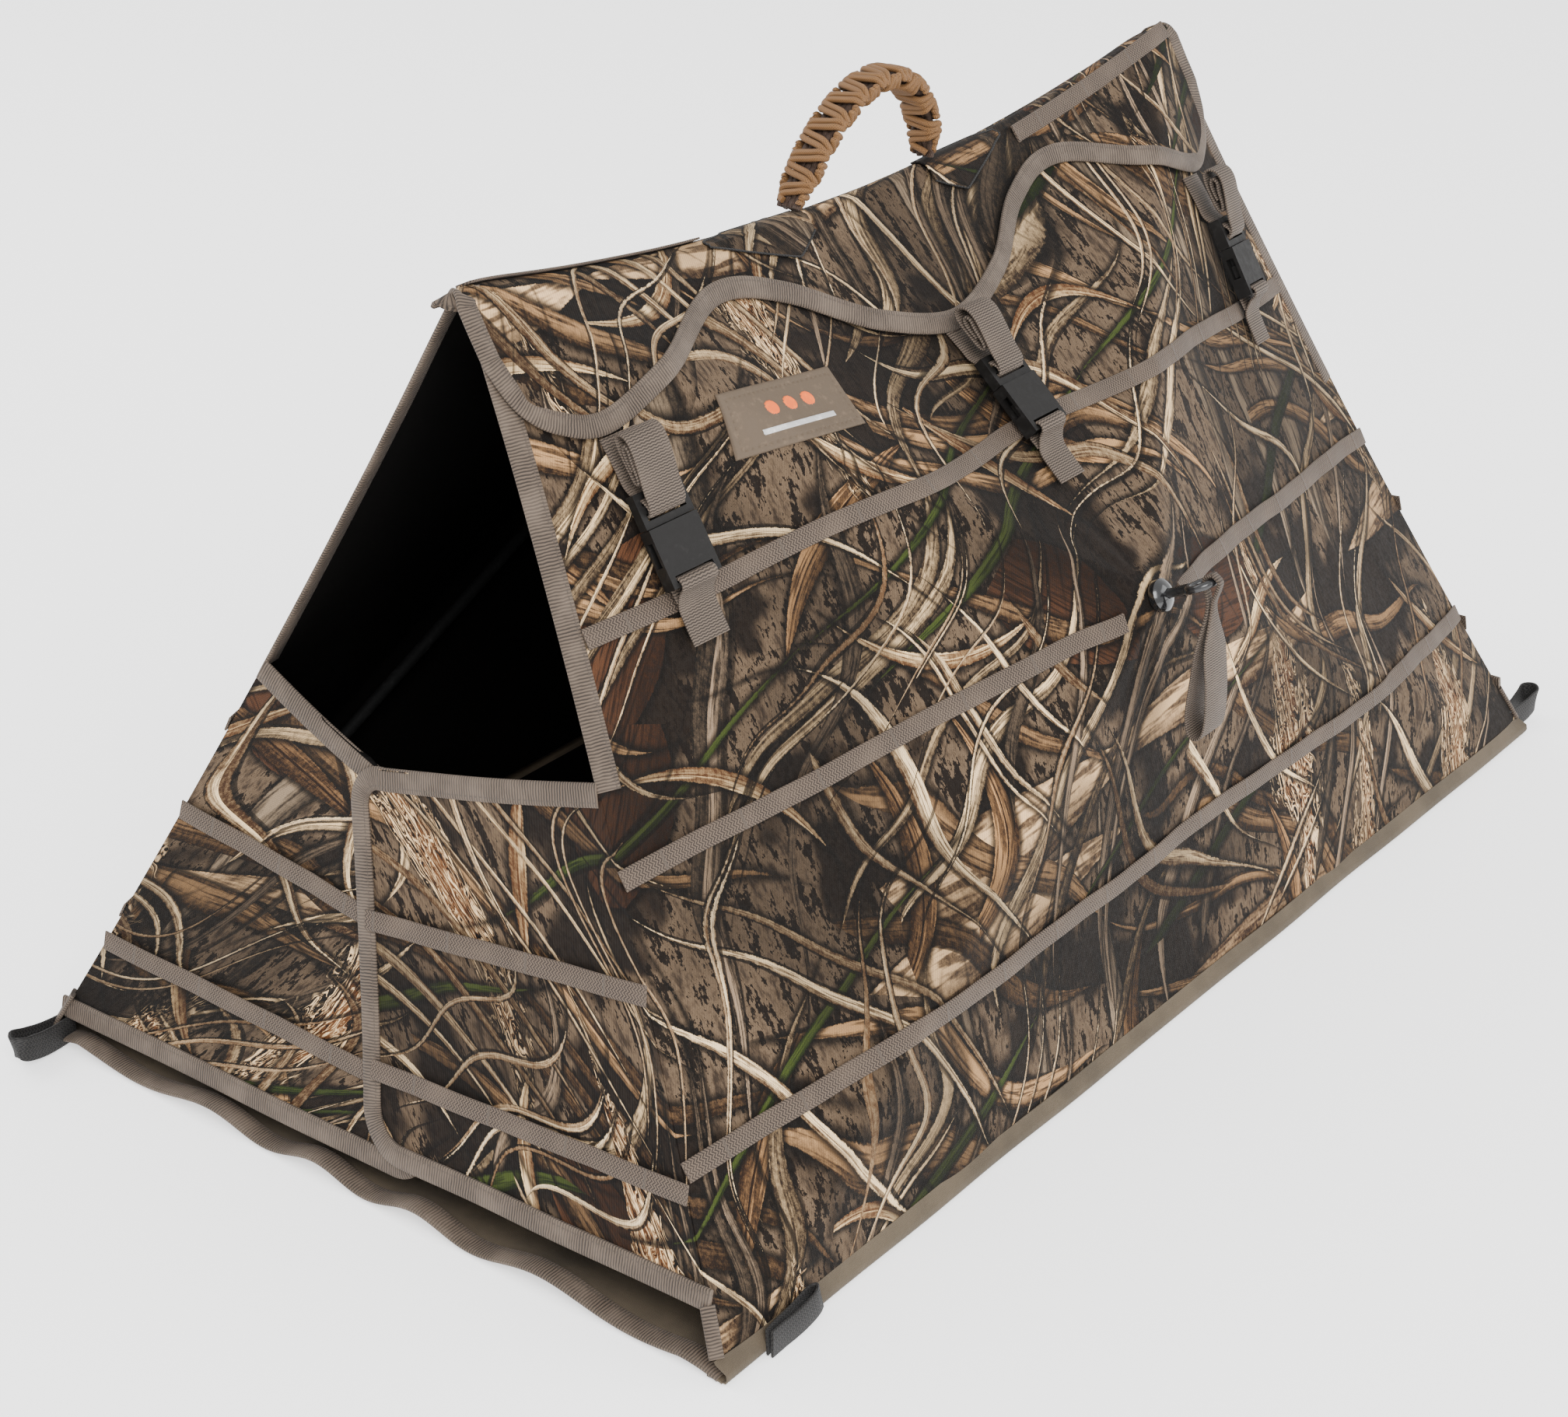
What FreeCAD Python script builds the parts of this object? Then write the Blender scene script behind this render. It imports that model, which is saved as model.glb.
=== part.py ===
"""Pop-up A-frame field blind: two hub-tensioned side panels on a floor sheet, a buckled roof flap,
split doors at both ends, a woven carry handle and a pull strap on each hub.

Millimetres. +X runs along the ridge, -Y is the front (buckle) side, +Z is up, and the origin is the
middle of the floor sheet's underside. Each side panel has a frame of its own: x along the ridge,
y up the slope and z straight out of the panel."""
import FreeCAD, Part
import math
import os
import re
from FreeCAD import Placement, Rotation, Vector

DIMENSIONS = {
    "blind_height": 510,
    "base_length": 934,
    "base_width": 536,
    "ridge_length": 687,
    "ridge_sag": 33,
    "ridge_span": 340,
    "hub_up_slope": 257,
    "hub_rise": 88,
    "fabric": 1.2,
    "floor_fabric": 1.5,
    "layer_gap": 0.4,
    "seam_gap": 4,
    "binding_width": 14,
    "strap_width": 12,
    "strap_thickness": 1,
    "webbing_width": 25,
    "webbing": 1.5,
    "flap_lift": 2,
    "flap_root_gap": 5,
    "panel_top_gap": 8,
    "pole_radius": 4,
    "pole_drop": 14,
    "pole_drop_upper": 19.6,
    "pole_reach_upper": 0.86,
    "pole_reach_lower": 0.93,
    "tip_radius": 5.5,
    "tip_length": 16,
    "pocket_radius": 7.5,
    "pocket_length": 20,
    "hub_radius": 30,
    "hub_thickness": 17,
    "hub_depth": 30,
    "hub_boss_radius": 9,
    "slot_width": 9,
    "pin_circle": 20,
    "pin_radius": 1.5,
    "pin_length": 24,
    "pin_clearance": 0.05,
    "bolt_radius": 3,
    "bolt_stand": 24,
    "eye_radius": 8.5,
    "eye_wire": 2.5,
    "cap_radius": 10,
    "cap_rim": 4,
    "nut_across": 10,
    "nut_height": 5,
    "pull_length": 100,
    "pull_gap": 6,
    "pull_neck": 5,
    "buckle_width": 33,
    "buckle_height": 10,
    "socket_length": 34,
    "buckle_wall": 2.4,
    "cavity_depth": 24,
    "window_length": 14,
    "window_margin": 3,
    "slot_side_play": 0.5,
    "slot_opening": 4,
    "plug_head": 20,
    "plug_height": 7,
    "plug_slot_near": 4.5,
    "plug_slot_far": 13,
    "tongue_width": 5,
    "tongue_play": 4,
    "latch_length": 20,
    "latch_width": 2.6,
    "latch_height": 4,
    "latch_pad": 2,
    "latch_pad_length": 8,
    "buckle_lift": 3.4,
    "buckle_spacing": 292,
    "side_buckle_drop": 158,
    "middle_buckle_drop": 174,
    "strap_run": 58,
    "roll_radius": 6,
    "lower_strap_run": 26,
    "patch_length": 107,
    "patch_height": 42,
    "patch_thickness": 1.6,
    "patch_right": 112.5,
    "patch_drop": 110,
    "door_height": 273,
    "door_gap": 3,
    "outer_door_lift": 1.6,
    "door_corner": 26,
    "handle_width": 24,
    "handle_thickness": 11,
    "handle_span": 124,
    "handle_axis": 490,
    "handle_rise": 48,
    "handle_foot": 12,
    "handle_foot_length": 8,
    "anchor_inner": 66,
    "anchor_outer": 150,
    "anchor_point": 18,
    "anchor_inner_drop": 26,
    "anchor_point_drop": 34,
    "anchor_outer_drop": 14,
    "stake_loop_length": 34,
    "stake_loop_width": 22,
    "stake_loop_height": 20,
}

doc = FreeCAD.newDocument("field_blind")
sheet = doc.addObject("Spreadsheet::Sheet", "Dimensions")
for row, (name, value) in enumerate(DIMENSIONS.items(), start=1):
    sheet.set(f"A{row}", name)
    sheet.set(f"B{row}", str(value))
    sheet.setAlias(f"B{row}", name)
doc.recompute()

nodes = []


def size(name):
    """The value of one named cell of the sheet."""
    return float(getattr(sheet, name))


def bind(item, **sizes):
    """Tie properties of an object to formulas over the sheet's names."""
    names = r"\b(" + "|".join(DIMENSIONS) + r")\b"
    for prop, formula in sizes.items():
        item.setExpression(prop, re.sub(names, r"Dimensions.\1", formula))


def node(item, label, placement=None):
    """Name a finished sub-part, place it and list it for export."""
    item.Label = label
    if placement is not None:
        item.Placement = placement
    nodes.append(item)
    return item


def feature(label, shape, placement=None):
    """A sub-part whose shape is built from the sheet's values with Part's own functions."""
    item = doc.addObject("Part::Feature", label)
    item.Shape = shape
    return node(item, label, placement)


def box(name, length, width, height, corner):
    """A box bound to the sheet, with its low corner at the given point."""
    item = doc.addObject("Part::Box", name)
    bind(item, Length=length, Width=width, Height=height)
    item.Placement = Placement(Vector(*corner), Rotation())
    return item


def cylinder(name, radius, height, placement):
    """A cylinder bound to the sheet; its axis is the placement's own z."""
    item = doc.addObject("Part::Cylinder", name)
    bind(item, Radius=radius, Height=height)
    item.Placement = placement
    return item


def cut(name, base, tool):
    """One object less another."""
    item = doc.addObject("Part::Cut", name)
    item.Base = base
    item.Tool = tool
    return item


def fuse(name, parts):
    """Several objects joined into one."""
    item = doc.addObject("Part::MultiFuse", name)
    item.Shapes = parts
    return item


def move(x=0.0, y=0.0, z=0.0):
    """A placement that only shifts."""
    return Placement(Vector(x, y, z), Rotation())


def turn(axis, degrees):
    """A placement that only turns about an axis through its own origin."""
    return Placement(Vector(), Rotation(Vector(*axis), degrees))


# ---- frames -------------------------------------------------------------------------------------

height = size("blind_height")
half_base = size("base_length") / 2
half_ridge = size("ridge_length") / 2
half_width = size("base_width") / 2
slope_length = math.hypot(height, half_width)
slope_angle = math.degrees(math.atan2(height, half_width))
end_lean = math.degrees(math.atan2(half_base - half_ridge, height))
end_rise = math.hypot(height, half_base - half_ridge) / height

half_turn = turn((0, 0, 1), 180)
front_frame = move(y=-half_width) * turn((1, 0, 0), slope_angle)
rear_frame = half_turn * front_frame
right_end_frame = move(x=half_base) * turn((0, 1, 0), -end_lean) * turn((1, 1, 1), 120)
left_end_frame = half_turn * right_end_frame


def ridge_height(x):
    """Height of the sagging ridge above the ground."""
    return height - size("ridge_sag") * (1 - (x / half_ridge) ** 2)


def ridge_point(x):
    """A point of the ridge in a side panel's frame."""
    return front_frame.inverse().multVec(Vector(x, 0, ridge_height(x)))


hub_point = Vector(0, size("hub_up_slope"), size("hub_rise"))
ridge_stations = [half_ridge, size("ridge_span") / 2, 0, -size("ridge_span") / 2, -half_ridge]
rim = [Vector(-half_base, 0, 0), Vector(half_base, 0, 0)] + [ridge_point(x) for x in ridge_stations]
facets = [(hub_point, rim[i], rim[(i + 1) % len(rim)]) for i in range(len(rim))]


def polygon(points):
    """A flat face with straight edges."""
    return Part.Face(Part.makePolygon(points + points[:1]))


def panel_slab(low, high):
    """The panel's tent-like surface, from the hub down to its rim, between two heights above it."""
    lower, upper = Vector(0, 0, low), Vector(0, 0, high)
    faces = []
    for hub, start, end in facets:
        faces.append(polygon([hub + upper, start + upper, end + upper]))
        faces.append(polygon([hub + lower, end + lower, start + lower]))
        faces.append(polygon([start + lower, end + lower, end + upper, start + upper]))
    return Part.Solid(Part.Shell(faces))


def on_panel(outline, low, high):
    """Fabric or webbing of one outline (x, up the slope) lying on the panel's surface."""
    reach = 2 * size("hub_rise")
    prism = outline.copy()
    prism.translate(Vector(0, 0, -reach))
    return panel_slab(low, high).common(prism.extrude(Vector(0, 0, 2 * reach)))


def flat_outline(points):
    """A flat outline in the panel's frame from (x, up the slope) pairs."""
    return polygon([Vector(x, y, 0) for x, y in points])


def side_x(up):
    """Half the panel's length at a distance up the slope."""
    return half_base - (half_base - half_ridge) * up / slope_length


def surface_frame(x, up, lift):
    """A frame on the panel's surface: its y runs up the slope and its z straight out of the facet.
    On the middle crease, at x = 0, it faces halfway between the two facets."""
    for corners in facets:
        flat = polygon([Vector(p.x, p.y, 0) for p in corners])
        if flat.distToShape(Part.Vertex(x, up, 0))[0] < 1e-6:
            first, second, third = corners
            normal = (second - first).cross(third - first).normalize()
            if x == 0:
                normal = Vector(0, normal.y, normal.z).normalize()
            rise = -(normal.x * (x - first.x) + normal.y * (up - first.y)) / normal.z
            along = Vector(0, 1, -normal.y / normal.z).normalize()
            point = Vector(x, up, first.z + rise)
            return Placement(point + normal * lift, Rotation(along.cross(normal), along, normal, "ZYX"))
    raise ValueError("no facet under that point")


def band(start, end, width, low, high):
    """A straight strap across the panel between two (x, up) points."""
    first, last = Vector(*start, 0), Vector(*end, 0)
    side = (last - first).cross(Vector(0, 0, 1)).normalize() * width / 2
    return on_panel(polygon([first - side, first + side, last + side, last - side]), low, high)


# ---- floor and panels -----------------------------------------------------------------------------

fabric = size("fabric")
gap = size("layer_gap")
seam = size("seam_gap")
binding = size("binding_width")
strap = size("strap_width")
strap_low = gap
strap_high = gap + size("strap_thickness")


def make_floor():
    floor = doc.addObject("Part::Box", "floor_tray")
    bind(floor, Length="base_length", Width="base_width", Height="floor_fabric")
    node(floor, "floor_tray", move(-half_base, -half_width, 0))


def panel_outline(top_gap):
    """A side panel's whole outline, its top edge a little below the ridge."""
    top = [(p.x, p.y - top_gap) for p in rim[2:]]
    lowest = [(-side_x(seam), seam), (side_x(seam), seam)]
    return flat_outline(lowest + top)


def make_panel(side, frame, top_gap):
    """A side panel with the hole for its hub bolt, and the binding tape on its two slanting edges."""
    cloth = on_panel(panel_outline(top_gap), -fabric, 0)
    hole = Part.makeCylinder(size("bolt_radius") + 1, 40, hub_point - Vector(0, 0, 20))
    feature(f"{side}_panel", cloth.cut(hole), frame)
    lowest = 2 * seam
    highest = slope_length - binding - top_gap
    tapes = []
    for sign in (-1, 1):
        edge = [(sign * side_x(up), up) for up in (lowest, highest)]
        inner = [(sign * (side_x(up) - binding), up) for up in (highest, lowest)]
        tapes.append(on_panel(flat_outline(edge + inner), strap_low, strap_high))
    feature(f"{side}_panel_binding", Part.makeCompound(tapes), frame)


def make_stubble_straps(side, frame):
    """Three rows of narrow webbing that hold cut stubble; the middle row stops either side of the hub."""
    drops = {"top": 0.345, "middle": 0.555, "bottom": 0.815}
    rows = []
    for row, share in drops.items():
        up = slope_length * (1 - share)
        reach = side_x(up + strap) - binding - gap
        clear = size("hub_radius") if row == "middle" else 0
        spans = [(-reach, -clear), (clear, reach)] if clear else [(-reach, reach)]
        for start, end in spans:
            rows.append(band((start, up), (end, up), strap, strap_low, strap_high))
    feature(f"{side}_stubble_straps", Part.makeCompound(rows), frame)


# ---- hub and poles --------------------------------------------------------------------------------

pole_ends = {
    "upper_left": (rim[-1], "pole_reach_upper"),
    "upper_right": (rim[2], "pole_reach_upper"),
    "lower_left": (rim[0], "pole_reach_lower"),
    "lower_right": (rim[1], "pole_reach_lower"),
}
pin_level = -size("hub_depth") + size("hub_thickness") / 2


def pole_line(place):
    """Where a pole pivots in the hub, and where its outer end sits inside the panel's corner."""
    corner, reach = pole_ends[place]
    outward = Vector(corner.x, corner.y - hub_point.y, 0).normalize()
    pivot = hub_point + Vector(0, 0, pin_level) + outward * size("pin_circle")
    drop = size("pole_drop_upper") if "upper" in place else size("pole_drop")
    tip = hub_point + (corner - hub_point) * size(reach) - Vector(0, 0, drop)
    return pivot, tip, outward


def along_line(start, direction):
    """A placement whose z runs along a direction."""
    return Placement(start, Rotation(Vector(0, 0, 1), direction))


def pin_tool(name, place, clearance):
    """A pole's cross pin, or the hole for it."""
    pivot, _, outward = pole_line(place)
    across = outward.cross(Vector(0, 0, 1))
    start = pivot - across * size("pin_length") / 2
    return cylinder(name, f"pin_radius + {clearance}", "pin_length", along_line(start, across))


def make_pole(side, frame, place):
    """A fibreglass rod, drilled at its hub end for the pin it folds on."""
    pivot, tip, _ = pole_line(place)
    direction = (tip - pivot).normalize()
    start = pivot - direction * size("pole_radius") * 1.5
    rod_length = f"{(tip - start).Length:.4f}"
    rod = cylinder(f"{side}_{place}_rod", "pole_radius", rod_length, along_line(start, direction))
    hole = pin_tool(f"{side}_{place}_pin_hole", place, "pin_clearance")
    pole = cut(f"{side}_pole_{place}", rod, hole)
    node(pole, f"{side}_pole_{place}", frame)


def make_pole_tips(side, frame):
    """A moulded cap on each pole's outer end, and the sewn pocket in the panel's corner round it."""
    tips, pockets = [], []
    for place in pole_ends:
        pivot, tip, _ = pole_line(place)
        direction = (tip - pivot).normalize()
        inside = 0.75 * size("tip_length")
        start = tip - direction * inside
        cap = Part.makeCylinder(size("tip_radius"), size("tip_length"), start, direction)
        bore = Part.makeCylinder(size("pole_radius"), inside, start, direction)
        tips.append(cap.cut(bore))
        sleeve = Part.makeCylinder(size("pocket_radius"), size("pocket_length"), start, direction)
        hollow = Part.makeCylinder(size("tip_radius"), size("tip_length"), start, direction)
        pockets.append(sleeve.cut(hollow))
    feature(f"{side}_pole_tips", Part.makeCompound(tips), frame)
    feature(f"{side}_corner_pockets", Part.makeCompound(pockets), frame)


def make_hub(side, frame):
    """The moulded hub: a slotted disc with a raised boss, bored for the eye bolt."""
    hub_frame = frame * Placement(hub_point, Rotation())
    depth, thickness = size("hub_depth"), size("hub_thickness")
    disc = cylinder(f"{side}_hub_disc", "hub_radius", "hub_thickness", move(z=-depth))
    boss = cylinder(f"{side}_hub_boss", "hub_boss_radius", "hub_depth - 5", move(z=-depth))
    blank = fuse(f"{side}_hub_blank", [disc, boss])
    cuts = [cylinder(f"{side}_hub_bore", "bolt_radius + 0.2", "hub_depth", move(z=-depth - 1))]
    for place in pole_ends:
        _, _, outward = pole_line(place)
        slot = doc.addObject("Part::Box", f"{side}_{place}_slot")
        bind(slot, Length="hub_radius", Width="slot_width", Height="hub_thickness + 2")
        slot_turn = Placement(Vector(), Rotation(Vector(1, 0, 0), outward))
        slot.Placement = slot_turn * move(size("hub_boss_radius") + 1, -size("slot_width") / 2, -depth - 1)
        cuts.append(slot)
        hole = pin_tool(f"{side}_{place}_hub_hole", place, "pin_clearance")
        hole.Placement = move(*(-hub_point)) * hole.Placement
        cuts.append(hole)
    tool = fuse(f"{side}_hub_cuts", cuts)
    hub = cut(f"{side}_hub", blank, tool)
    node(hub, f"{side}_hub", hub_frame)


def make_hub_fasteners(side, frame):
    """The four pole pins and the nut on the eye bolt, one group of separate pieces."""
    pins = []
    for place in pole_ends:
        pivot, _, outward = pole_line(place)
        across = outward.cross(Vector(0, 0, 1))
        start = pivot - across * size("pin_length") / 2
        pins.append(Part.makeCylinder(size("pin_radius"), size("pin_length"), start, across))
    circle = size("nut_across") / math.sqrt(3)
    angles = [math.radians(60 * i) for i in range(6)]
    corners = [Vector(circle * math.cos(a), circle * math.sin(a), 0) for a in angles]
    nut = polygon(corners).extrude(Vector(0, 0, size("nut_height")))
    nut = nut.cut(Part.makeCylinder(size("bolt_radius"), size("nut_height")))
    nut.translate(hub_point - Vector(0, 0, size("hub_depth") + size("nut_height")))
    feature(f"{side}_hub_fasteners", Part.makeCompound(pins + [nut]), frame)


def make_hub_cap(side, frame):
    """The domed cap that clamps the fabric on the outside of the hub."""
    rim_disc = cylinder(f"{side}_cap_rim", "cap_radius", "cap_rim", move(z=gap))
    dome = doc.addObject("Part::Sphere", f"{side}_cap_dome")
    bind(dome, Radius="cap_radius * sqrt(2)")
    dome.Angle1 = 45
    dome.Placement = move(z=gap + size("cap_rim") - size("cap_radius"))
    blank = fuse(f"{side}_cap_blank", [rim_disc, dome])
    bore = cylinder(f"{side}_cap_bore", "bolt_radius + 0.2", "bolt_stand", move())
    cap = cut(f"{side}_hub_cap", blank, bore)
    node(cap, f"{side}_hub_cap", frame * Placement(hub_point, Rotation()))


def make_eye_bolt(side, frame):
    """The bolt through hub, fabric and cap, with a closed eye at its outer end."""
    below = size("hub_depth") + size("nut_height") + 2
    shank = cylinder(f"{side}_bolt_shank", "bolt_radius", "bolt_stand + hub_depth + nut_height + 2",
                     move(z=-below))
    eye = doc.addObject("Part::Torus", f"{side}_bolt_eye")
    bind(eye, Radius1="eye_radius", Radius2="eye_wire")
    eye.Placement = move(z=size("bolt_stand") + size("eye_radius")) * turn((1, 0, 0), 90)
    bolt = fuse(f"{side}_eye_bolt", [shank, eye])
    node(bolt, f"{side}_eye_bolt", frame * Placement(hub_point, Rotation()))


def eye_centre(frame):
    """The middle of the eye's outermost wire, where the pull strap hangs."""
    outer = size("bolt_stand") + 2 * size("eye_radius")
    return frame.multVec(hub_point + Vector(0, 0, outer))


def make_pull_strap(side, frame):
    """A webbing loop hanging straight down from the eye: a narrow neck, then a flat open loop."""
    web, width = size("webbing"), size("webbing_width")
    neck, wide_gap = size("pull_neck"), size("pull_gap")
    inner = size("eye_wire") + 0.7
    outer = inner + web
    across = Vector(1, 0, 0)
    collar = Part.makeCylinder(outer, neck, Vector(-neck / 2, 0, 0), across)
    collar = collar.cut(Part.makeCylinder(inner, neck, Vector(-neck / 2, 0, 0), across))
    stem_top = -inner - web / 2
    stem_end = -3 * outer
    stem = Part.makeBox(neck, 2 * web, stem_top - stem_end, Vector(-neck / 2, -web, stem_end))
    thick = wide_gap + 2 * web
    loop_length = size("pull_length") + stem_end
    loop = Part.makeBox(width, thick, loop_length, Vector(-width / 2, -thick / 2, -size("pull_length")))
    inside = Part.makeBox(width, wide_gap, loop_length - 2 * web,
                          Vector(-width / 2, -wide_gap / 2, web - size("pull_length")))
    strap_loop = collar.fuse([stem, loop]).cut(inside)
    feature(f"{side}_pull_strap", strap_loop, Placement(eye_centre(frame), Rotation()))


def make_hub_set(side, frame):
    """Everything that tensions one side panel."""
    make_hub(side, frame)
    make_hub_cap(side, frame)
    make_eye_bolt(side, frame)
    make_hub_fasteners(side, frame)
    for place in pole_ends:
        make_pole(side, frame, place)
    make_pole_tips(side, frame)
    make_pull_strap(side, frame)


# ---- roof flap ------------------------------------------------------------------------------------

def flap_depth_curve(inset):
    """The flap's scalloped lower edge: three lobes, one over each buckle, as a smooth curve."""
    half = half_ridge + 9 - inset
    depths = [(0, 130), (62, 112), (120, 76), (172, 62), (235, 84), (296, 102), (338, 84)]
    right = [Vector(x, slope_length - depth + inset, 0) for x, depth in depths]
    end = Vector(half, slope_length - 46, 0)
    left = [Vector(-p.x, p.y, 0) for p in reversed(right[1:])]
    curve = Part.BSplineCurve()
    curve.interpolate([Vector(-end.x, end.y, 0)] + left + right + [end])
    return curve.toShape(), end


def flap_outline(top_gap, inset):
    """The roof flap's outline from its root just below the ridge to its scalloped edge."""
    lower_edge, end = flap_depth_curve(inset)
    top = [Vector(p.x, p.y - top_gap, 0) for p in rim[2:]]
    sides = Part.makePolygon([end, Vector(end.x, top[0].y, 0)] + top + [Vector(-end.x, top[-1].y, 0),
                                                                        Vector(-end.x, end.y, 0)])
    return Part.Face(Part.Wire([lower_edge] + sides.Edges))


def make_roof_flap():
    """The flap that folds over the ridge onto the front panel, and the tape along its edge."""
    lift = size("flap_lift")
    root = size("flap_root_gap")
    feature("roof_flap", on_panel(flap_outline(root, 0), lift, lift + fabric), front_frame)
    edge = flap_outline(root, 0).cut(flap_outline(-root, 12))
    low = lift + fabric + gap / 2
    tape = on_panel(edge, low, low + size("strap_thickness"))
    feature("roof_flap_binding", tape, front_frame)


# ---- buckles --------------------------------------------------------------------------------------

def buckle_frames():
    """Frames at the mouth of the three buckle sockets, on the front panel's surface."""
    lift = size("buckle_lift")
    side_up = slope_length - size("side_buckle_drop")
    middle_up = slope_length - size("middle_buckle_drop")
    places = {
        "left": (-size("buckle_spacing"), side_up),
        "middle": (0, middle_up),
        "right": (size("buckle_spacing"), side_up),
    }
    return {name: front_frame * surface_frame(x, up, lift) for name, (x, up) in places.items()}


def strap_slot(name, start):
    """The cutter for a webbing slot that starts at a distance along the buckle's length."""
    side = -size("webbing_width") / 2 - size("slot_side_play")
    return box(name, "webbing_width + 2 * slot_side_play", "slot_opening", "buckle_height + 2",
               (side, start, -1))


def make_socket(name, frame):
    """The female half: a flat shell open at the top and at both sides, with a bar for the lower strap."""
    label = f"buckle_socket_{name}"
    half = size("buckle_width") / 2
    length, wall = size("socket_length"), size("buckle_wall")
    shell = box(f"{label}_shell", "buckle_width", "socket_length", "buckle_height", (-half, -length, 0))
    cavity = box(f"{label}_cavity", "buckle_width - 2 * buckle_wall", "cavity_depth + 1",
                 "buckle_height - 2 * buckle_wall", (wall - half, -size("cavity_depth"), wall))
    window = box(f"{label}_window", "buckle_width + 2", "window_length",
                 "buckle_height - 2 * buckle_wall",
                 (-half - 1, size("window_margin") - size("cavity_depth"), wall))
    slot = strap_slot(f"{label}_slot", wall - length)
    tools = fuse(f"{label}_cuts", [cavity, window, slot])
    socket = cut(label, shell, tools)
    node(socket, label, frame)


def make_plug(name, frame):
    """The male half: a head with two strap slots and a middle guide tongue."""
    label = f"buckle_plug_{name}"
    half = size("buckle_width") / 2
    play = size("tongue_play")
    head_level = (size("buckle_height") - size("plug_height")) / 2
    tongue_level = (size("buckle_height") - size("latch_height")) / 2
    head = box(f"{label}_head", "buckle_width", "plug_head", "plug_height", (-half, gap, head_level))
    tongue = box(f"{label}_tongue", "tongue_width", "cavity_depth - tongue_play + layer_gap",
                 "latch_height", (-size("tongue_width") / 2, play - size("cavity_depth"), tongue_level))
    near_slot = strap_slot(f"{label}_near_slot", size("plug_slot_near"))
    far_slot = strap_slot(f"{label}_far_slot", size("plug_slot_far"))
    blank = fuse(f"{label}_blank", [head, tongue])
    plug = cut(label, blank, fuse(f"{label}_slots", [near_slot, far_slot]))
    node(plug, label, frame)


def make_latch_arm(name, hand, sign, frame):
    """One springy arm of the plug, with the pad that shows in the socket's side window."""
    label = f"latch_arm_{name}_{hand}"
    level = (size("buckle_height") - size("latch_height")) / 2
    outer = size("buckle_width") / 2 - size("buckle_wall") - gap
    width = size("latch_width")
    start = -size("latch_length") - gap
    arm_x = outer - size("latch_pad") - width
    low_x = arm_x if sign > 0 else -arm_x - width
    arm = box(f"{label}_arm", "latch_width", "latch_length", "latch_height", (low_x, start, level))
    pad_x = arm_x + width if sign > 0 else -outer
    pad = box(f"{label}_pad", "latch_pad", "latch_pad_length", "latch_height", (pad_x, start, level))
    node(fuse(label, [arm, pad]), label, frame)


def make_buckle_strap(name, frame):
    """The upper strap: sewn under the flap's lobe, threaded through the plug and rolled at its end."""
    width, web, run = size("webbing_width"), size("webbing"), size("strap_run")
    across = Vector(1, 0, 0)
    top = size("buckle_height") + 1
    throat_start = size("plug_slot_near") + 0.5
    layer = Part.makeBox(width, run, web, Vector(-width / 2, throat_start - 2, top))
    throat = Part.makeBox(width, 2, top - web, Vector(-width / 2, throat_start, web))
    roll_centre = Vector(-width / 2, 0.6 * run, top + size("roll_radius") + web / 2)
    roll = Part.makeCylinder(size("roll_radius"), width, roll_centre, across)
    core = Part.makeCylinder(size("roll_radius") - 2 * web, width, roll_centre, across)
    feature(f"buckle_strap_{name}", layer.fuse([throat, roll.cut(core)]), frame)


def make_socket_straps(frames):
    """The short sewn loops that tie the three sockets to the front panel."""
    loops = []
    width, web = size("webbing_width"), size("webbing")
    half = width / 2
    low = strap_high + gap - size("buckle_lift")
    top = size("buckle_height") + gap + web
    bar_end = -size("socket_length")
    for frame in frames.values():
        run = size("lower_strap_run")
        flat = Part.makeBox(width, run, web, Vector(-half, bar_end - run + 4.5, low))
        inner_side = Part.makeBox(width, web, top - low, Vector(-half, bar_end + 3, low))
        outer_side = Part.makeBox(width, web, top - low, Vector(-half, bar_end - 3, low))
        over = Part.makeBox(width, 6 + web, web, Vector(-half, bar_end - 3, top - web))
        loop = flat.fuse([inner_side, outer_side, over])
        loop.Placement = frame
        loops.append(loop)
    feature("socket_straps", Part.makeCompound(loops))


def make_buckles():
    frames = buckle_frames()
    for name, frame in frames.items():
        make_socket(name, frame)
        make_plug(name, frame)
        for hand, sign in (("inner", -1), ("outer", 1)):
            make_latch_arm(name, hand, sign, frame)
        make_buckle_strap(name, frame)
    make_socket_straps(frames)


def make_patch():
    """A moulded maker's patch sewn between the left and middle buckles."""
    left = -size("patch_right") - size("patch_length")
    top = slope_length - size("patch_drop")
    low = top - size("patch_height")
    right = left + size("patch_length")
    outline = flat_outline([(left, low), (right, low), (right, top), (left, top)])
    patch = on_panel(outline, gap, gap + size("patch_thickness"))
    feature("maker_patch", patch, front_frame)


# ---- end doors ------------------------------------------------------------------------------------

def door_edge(z):
    """Half the end's width at a height, in the end's own frame."""
    return half_width * (1 - z / height)


def door_face(points, sign):
    """An outline in an end's frame from (towards the owning panel, height) pairs."""
    corners = [Vector(sign * across, z * end_rise, 0) for across, z in points]
    return polygon(corners if sign > 0 else corners[::-1])


def rounded(face, corners, low, high, radius):
    """A door leaf of one outline, rounded at the listed corners."""
    leaf = face.copy()
    leaf.translate(Vector(0, 0, low))
    leaf = leaf.extrude(Vector(0, 0, high - low))
    chosen = []
    for edge in leaf.Edges:
        first, last = edge.Vertexes[0].Point, edge.Vertexes[-1].Point
        upright = abs(first.z - last.z) > (high - low) / 2
        if upright and any(math.hypot(first.x - x, first.y - y) < 0.1 for x, y in corners):
            chosen.append(edge)
    return leaf.makeFillet(radius, chosen)


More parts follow.
